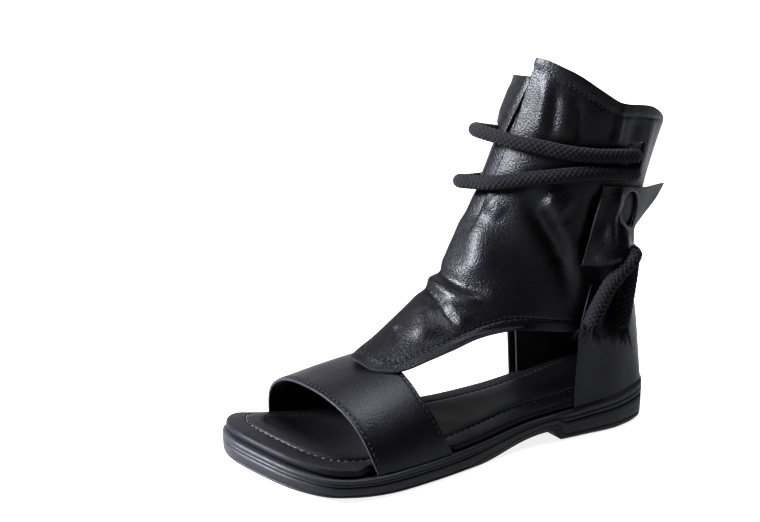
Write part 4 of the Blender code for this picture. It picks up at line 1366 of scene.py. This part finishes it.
def flap_face(rows, columns):
    """Outer face of the flap: rows up its height, each from the shaft's side to the free back edge."""
    gap = CURVED_CLEARANCE + FLAP_WALL
    found = []
    for share in np.linspace(FLAP[0][0], 1, rows):
        swell = 1.1 * ROPE_DIAMETER * (1 - blend(-0.14, 0.50, share)) + gap
        front, low, across, along, high = (float(smooth(FLAP, k, share)) for k in (1, 2, 3, 4, 5))
        turn = np.linspace(front, FLAP_LEAVES, 5)
        height = np.linspace(low, low + (high - low) * 0.6, 5) * SHAFT_HEIGHT
        over_rope = blend(front - 0.04, front + 0.16, turn) * (1 - 0.75 * blend(1.0, 1.3, turn))
        out = gap + (swell - gap) * over_rope
        lying = off_upper(level_of(height, turn), turn, out)
        free = place(across * SHAFT_HALF_WIDTH + gap, along * LENGTH, high * SHAFT_HEIGHT)
        found.append(even_route(np.concatenate([lying, free[None, :]]), columns))
    return np.array(found)


def hole_axes():
    """Middle of the flap's hole, and the directions ahead, up and out of it."""
    turn = np.array([FLAP_HOLE_TURN])
    level = level_of(np.array([FLAP_HOLE_LEVEL * SHAFT_HEIGHT]), turn)
    middle = upper_surface(level, turn)[0]
    outward = off_upper(level, turn, np.array([1.0]))[0] - middle
    outward[2] = 0
    outward /= np.linalg.norm(outward)
    return middle, np.cross((0, 0, 1), outward), np.array([0.0, 0.0, 1.0]), outward


class BOOT_OT_back_flap(bpy.types.Operator):
    """Flap behind the ankle with its folds, its oval hole and the raw ring round it"""

    bl_idname = "boot.back_flap"
    bl_label = "Back flap"

    def execute(self, context):
        rows, columns = 71, 91
        base = flap_face(rows, columns)
        lines = []
        for rise, half, spots in FLAP_FOLDS:
            spots = np.array(spots)
            share = along_line(spots, np.linspace(0, 1, 16))
            i = np.round(share[:, 0] * (rows - 1)).astype(int)
            j = np.round(share[:, 1] * (columns - 1)).astype(int)
            lines.append((rise, half, base[i, j]))
        lift = relief_of(base, lines)
        up, ahead = np.gradient(base, axis=0), np.gradient(base, axis=1)
        out = np.cross(ahead, up)
        out /= np.linalg.norm(out, axis=-1, keepdims=True)
        middle, forward, upward, outward = hole_axes()
        out *= np.sign(np.sum(out * outward, axis=-1).mean())
        points = base + out * np.maximum(lift, -0.0003)[..., None]
        from_hole = points - middle
        wide = from_hole @ forward / (FLAP_HOLE_WIDTH / 2)
        high = from_hole @ upward / (FLAP_HOLE_HEIGHT / 2)
        radius = np.hypot(wide, high)
        near = (radius > 0.80) & (radius < 1.14) & (np.abs(from_hole @ outward) < 0.02)
        drawn = middle + (from_hole @ outward)[..., None] * outward
        drawn = drawn + ((wide / radius * FLAP_HOLE_WIDTH / 2)[..., None] * forward)
        drawn = drawn + ((high / radius * FLAP_HOLE_HEIGHT / 2)[..., None] * upward)
        inside = radius < 1.0
        keep = ~(inside[:-1, :-1] & inside[1:, :-1] & inside[:-1, 1:] & inside[1:, 1:])
        points = np.where((near & inside)[..., None], drawn, points)
        bm = grid_on(points, keep, relief=lift)
        tree = BVHTree.FromBMesh(bm)
        leather_piece("flap", bm, "back_flap", FLAP_WALL, "pebbled")
        ring = []
        for angle in np.linspace(0, 2 * math.pi, 97):
            oval = forward * math.cos(angle) * FLAP_HOLE_WIDTH / 2
            oval = oval + upward * math.sin(angle) * FLAP_HOLE_HEIGHT / 2
            start = middle + oval * 1.04 + outward * 0.05
            hit, normal, _, _ = tree.ray_cast(Vector(start), Vector(-outward), 0.08)
            if hit is None:
                hit, normal, _, _ = tree.find_nearest(Vector(middle + oval))
            radial = oval / np.linalg.norm(oval)
            face = np.array(normal) * (1 if Vector(outward).dot(normal) > 0 else -1)
            section = np.array(hit) + radial * HOLE_RING_WIDTH * np.array(HOLE_RING)[:, :1]
            ring.append(section + face * np.array(HOLE_RING)[:, 1:])
        closed_piece("hole_edge", grid_on(np.array(ring)), "pale_edge", "back_flap")
        return {"FINISHED"}


def frames_along(line, closed):
    """Tangent, side and upward direction at each point of a line, turned as little as can be."""
    if closed:
        ahead = np.roll(line, -1, axis=0) - np.roll(line, 1, axis=0)
    else:
        ahead = np.gradient(line, axis=0)
    ahead /= np.linalg.norm(ahead, axis=1)[:, None]
    side = np.empty_like(line)
    first = np.cross(ahead[0], (0.3, 0.2, 0.9))
    side[0] = first / np.linalg.norm(first)
    for k in range(1, len(line)):
        one = side[k - 1] - ahead[k] * (side[k - 1] @ ahead[k])
        side[k] = one / np.linalg.norm(one)
    up = np.cross(ahead, side)
    if closed:
        last = side[-1] - ahead[0] * (side[-1] @ ahead[0])
        miss = math.atan2(last @ up[0], last @ side[0])
        turn = (-miss * np.arange(len(line)) / len(line))[:, None]
        side, up = side * np.cos(turn) + up * np.sin(turn), up * np.cos(turn) - side * np.sin(turn)
    return ahead, side, up


def braid(name, line, closed, node, loose=0.0):
    """Round braid along a line: two families of strands that pass over and under each other."""
    sizes = bpy.context.scene.boot_sizes
    strands, around = sizes.strands, 9 * sizes.strands
    whole = np.concatenate([line, line[:1]]) if closed else line
    length = run_of(whole)[-1]
    picks = max(2, round(length / sizes.braid / 2) * 2)
    count = picks * 7
    route = along_line(whole, np.linspace(0, 1, count + 1))
    _, side, up = frames_along(route[:-1] if closed else route, closed)
    if closed:
        side, up = np.concatenate([side, side[:1]]), np.concatenate([up, up[:1]])
    run = np.linspace(0, picks, count + 1)[None, :]
    share = np.linspace(0, 1, around + 1)[:, None]
    one, other = strands * share + run, strands * share - run
    over = 0.5 + 0.5 * np.cos(2 * math.pi * strands * share) * np.ones_like(run)
    first = np.abs(np.cos(math.pi * one)) ** 0.8 * (0.55 + 0.45 * over)
    second = np.abs(np.cos(math.pi * other)) ** 0.8 * (0.55 + 0.45 * (1 - over))
    crown = np.maximum(first, second)
    radius = ROPE_DIAMETER / 2 * (0.78 + 0.24 * crown) * (1 + loose * run / picks)
    if not closed:
        end = np.minimum(run, picks - run) / 1.2
        radius = radius * np.sqrt(np.clip(1 - (1 - np.clip(end, 0, 1)) ** 2, 0, 1))
    angle = 2 * math.pi * share
    points = route[None] + side[None] * (np.cos(angle) * radius)[..., None]
    points = points + up[None] * (np.sin(angle) * radius)[..., None]
    bm = grid_on(points, relief=crown, lay=blend(-0.15, 0.15, first - second))
    uv = bm.loops.layers.uv["UVMap"]
    for face in bm.faces:
        for loop in face.loops:
            loop[uv].uv.x *= picks
    return closed_piece(name, bm, "rope", node), route


class BOOT_OT_rope_wraps(bpy.types.Operator):
    """Both turns of the rope round the shaft"""

    bl_idname = "boot.rope_wraps"
    bl_label = "Rope round the shaft"

    def execute(self, context):
        braid("upper_wrap", wrap_points(1), True, "rope_upper_wrap")
        braid("lower_wrap", wrap_points(2), True, "rope_lower_wrap")
        return {"FINISHED"}


def frayed(name, route, node, seed):
    """Loose fibres at the open end of the rope, spread and drooping."""
    rng = np.random.default_rng(seed)
    curve = bpy.data.curves.new(name, "CURVE")
    curve.dimensions = "3D"
    curve.bevel_depth = FIBRE_RADIUS
    curve.bevel_resolution = 0
    ahead, side, up = (one[-1] for one in frames_along(route, False))
    tip = route[-1] - ahead * 0.004
    for _ in range(bpy.context.scene.boot_sizes.fray):
        angle = rng.uniform(0, 2 * math.pi)
        out = side * math.cos(angle) + up * math.sin(angle)
        start = tip + out * ROPE_DIAMETER * 0.58 * math.sqrt(rng.uniform(0, 1))
        reach = rng.uniform(*FIBRE_REACH)
        spread = rng.uniform(0.0, FIBRE_SPREAD)
        bend = rng.normal(0, FIBRE_BEND, (5, 3))
        spline = curve.splines.new("POLY")
        spline.points.add(4)
        for k in range(5):
            run = k / 4
            spot = start + ahead * reach * run + out * reach * spread * run**1.5 + bend[k] * run
            spot[2] -= FIBRE_DROOP * run**2
            spline.points[k].co = (*spot, 1)
            spline.points[k].radius = 1.0 - 0.55 * run
    obj = bpy.data.objects.new(name, curve)
    bpy.context.scene.collection.objects.link(obj)
    curve.materials.append(finish("yarn"))
    return claim(obj, node)


def rope_route(rows):
    """Middle line of a stretch of the rope, a point every millimetre."""
    points = off_shaft(rows)
    length = run_of(points)[-1]
    return even_route(points, int(length / 0.001) + 1)


class BOOT_OT_rope_ends(bpy.types.Operator):
    """Knot behind the ankle and both frayed ends"""

    bl_idname = "boot.rope_ends"
    bl_label = "Knot and ends"

    def execute(self, context):
        knot, line = braid("knot", rope_route(KNOT), False, "rope_knot")
        for name, rows, seed in (("end_front", END_FRONT, 3), ("end_back", END_BACK, 4)):
            end, line = braid(name, rope_route(rows), False, "rope_" + name, 0.3)
            fray = frayed(name + "_fray", line, "rope_" + name, seed)
        return {"FINISHED"}


def stitches(bm, line, long=1.0, thick=1.0):
    """Row of stitches along a line on the leather, each a small sunk bead."""
    sizes = bpy.context.scene.boot_sizes
    length = run_of(line)[-1]
    count = int(length / (long * (sizes.stitch + sizes.stitch_gap)))
    share = (np.arange(count) + 0.5) / count
    half = 0.5 * long * sizes.stitch / length
    for start, end in zip(along_line(line, share - half), along_line(line, share + half)):
        way = Vector(end - start)
        turn = way.to_track_quat("X", "Z").to_matrix().to_4x4()
        size = Matrix.Diagonal((way.length / 2, thick * sizes.thread, thick * sizes.thread, 1))
        middle = Matrix.Translation(Vector((start + end) / 2))
        bmesh.ops.create_icosphere(bm, subdivisions=1, radius=1, matrix=middle @ turn @ size)


def inset_levels(turn, edge, inset, start, stop):
    """Level of the upper that lies at a distance in from an edge, for each turn."""
    levels = np.linspace(start, stop, 60)
    far = distance_to(upper_surface(levels[:, None], turn[None, :]), edge)
    return np.array([np.interp(inset, column, levels) for column in far.T])


class BOOT_OT_stitches(bpy.types.Operator):
    """Rows of stitches of the hems, the band and the footbed"""

    bl_idname = "boot.stitches"
    bl_label = "Stitches"

    def execute(self, context):
        hem = context.scene.boot_sizes.hem
        lower, collar = hem_lines()
        bm = bmesh.new()
        for edge, turn, start, stop in (
            (lower, np.linspace(COUNTER_MEDIAL - 0.02, COUNTER_LATERAL, 400), 1.0, 3.0),
            (collar, np.linspace(PANEL_TURN + 0.03, 1.02, 200), float(TOP), 6.8),
        ):
            for row in HEM_ROWS:
                level = inset_levels(turn, edge, hem + row, start, stop)
                stitches(bm, upper_face(level, turn)[0])
        piece("hem_stitches", bm, ["thread"], "upper")
        bm = bmesh.new()
        for column, way in ((1, -1), (2, 1)):
            turn = np.linspace(0.99, -0.99, 300)
            along = LENGTH * smooth(BAND, column, turn) + way * 0.0021
            line = band_section(along, turn)
            stitches(bm, line)
        piece("band_stitches", bm, ["thread"], "upper")
        bm = bmesh.new()
        stations = stations_of(241)
        height = rim_height(stations) + CLEARANCE + BED_THICKNESS - 0.0009
        line = sole_loop(BED_CHANNEL, height, stations)
        stitches(bm, line, 1.3, 2.1)
        piece("channel_stitches", bm, ["bed_thread_and_glint"], "footbed")
        return {"FINISHED"}


def sheet_of_paper(name, material, half, matrix):
    """Square sheet of the stage, as wide as twice half."""
    bm = bmesh.new()
    bmesh.ops.create_grid(bm, x_segments=8, y_segments=8, size=half, matrix=matrix)
    mesh = bpy.data.meshes.new(name)
    bm.to_mesh(mesh)
    bm.free()
    mesh.materials.append(material)
    sheet = bpy.data.objects.new(name, mesh)
    bpy.context.scene.collection.objects.link(sheet)
    return sheet


class BOOT_OT_stage(bpy.types.Operator):
    """Floor and backdrop that glow pale as painted light, soft lights and the camera"""

    bl_idname = "boot.stage"
    bl_label = "Stage"

    def execute(self, context):
        tone = context.scene.boot_colours
        material, tree, shader, where = blank("glowing_paper")
        soft = bump(tree, noise(tree, where, 300.0), 0.05, 0.0002)
        # The floor and the backdrop glow though they are no lamps: painted light, 0.6 near the heel rising
        # to full from 0.9 m away
        far = add(tree, "VectorMath", {0: where}, operation="LENGTH").outputs["Value"]
        feed(tree, shader, normal=soft, emission_strength=ranged(tree, far, (0.15, 0.9), (0.60, 1.0)))
        fix(shader, {"Base Color": tone.floor, "Roughness": 0.9, "Emission Color": (1, 1, 1, 1)})
        floor = sheet_of_paper("floor", material, 6.0, Matrix())
        facing = Matrix.Rotation(math.radians(CAMERA_AZIMUTH), 4, "Z")
        upright = Matrix.Translation(BACKDROP) @ facing @ Matrix.Rotation(math.radians(90), 4, "X")
        backdrop = sheet_of_paper("backdrop", material, 4.0, upright)
        world = bpy.data.worlds.new("studio")
        world.use_nodes = True
        back = world.node_tree.nodes["Background"]
        back.inputs["Color"].default_value = (1, 1, 1, 1)
        back.inputs["Strength"].default_value = 0.05
        context.scene.world = world
        for name, where, size, power in LAMPS:
            lamp = bpy.data.lights.new(name, "AREA")
            lamp.shape = "DISK"
            lamp.size = size
            lamp.energy = power
            lamp.color = LAMP_COLOUR
            made = bpy.data.objects.new(name, lamp)
            context.scene.collection.objects.link(made)
            made.location = where
            aim = Vector(LAMP_AIM) - Vector(where)
            made.rotation_euler = aim.to_track_quat("-Z", "Y").to_euler()
        azimuth, elevation, roll = np.radians((CAMERA_AZIMUTH, CAMERA_ELEVATION, CAMERA_ROLL))
        flat = math.cos(elevation)
        back = Vector((math.sin(azimuth) * flat, -math.cos(azimuth) * flat, math.sin(elevation)))
        right = Vector((math.cos(azimuth), math.sin(azimuth), 0.0))
        up = back.cross(right)
        side = right * math.cos(roll) + up * math.sin(roll)
        rise = up * math.cos(roll) - right * math.sin(roll)
        lens = bpy.data.cameras.new("camera")
        lens.lens = CAMERA_LENS
        lens.sensor_fit = "HORIZONTAL"
        lens.sensor_width = 36.0
        camera = bpy.data.objects.new("camera", lens)
        context.scene.collection.objects.link(camera)
        turn = Matrix((side, rise, back)).transposed().to_4x4()
        camera.matrix_world = Matrix.Translation(CAMERA_PLACE) @ turn
        context.scene.camera = camera
        context.scene.view_settings.view_transform = "Standard"
        context.scene.view_settings.look = "High Contrast"
        return {"FINISHED"}


class BOOT_PT_panel(bpy.types.Panel):
    """Pieces of the boot in the order in which they are made"""

    bl_idname = "BOOT_PT_panel"
    bl_label = "Gladiator sandal boot"
    bl_space_type = "VIEW_3D"
    bl_region_type = "UI"
    bl_category = "Boot"

    def draw(self, context):
        for operator in OPERATORS:
            self.layout.operator(operator.bl_idname)
        for group in (context.scene.boot_sizes, context.scene.boot_colours):
            for name in group.__annotations__:
                self.layout.prop(group, name)


OPERATORS = (
    BOOT_OT_stage,
    BOOT_OT_rope_wraps,
    BOOT_OT_rope_ends,
    BOOT_OT_outsole,
    BOOT_OT_footbed,
    BOOT_OT_upper,
    BOOT_OT_cuff,
    BOOT_OT_heel_counter,
    BOOT_OT_back_flap,
    BOOT_OT_stitches,
)
CLASSES = (BootColours, BootSizes, *OPERATORS, BOOT_PT_panel)


def register():
    for one in CLASSES:
        bpy.utils.register_class(one)
    bpy.types.Scene.boot_colours = PointerProperty(type=BootColours)
    bpy.types.Scene.boot_sizes = PointerProperty(type=BootSizes)


def unregister():
    del bpy.types.Scene.boot_sizes
    del bpy.types.Scene.boot_colours
    for one in reversed(CLASSES):
        bpy.utils.unregister_class(one)


def main():
    register()
    for operator in OPERATORS:
        group, name = operator.bl_idname.split(".")
        getattr(getattr(bpy.ops, group), name)()


if __name__ == "__main__":
    main()
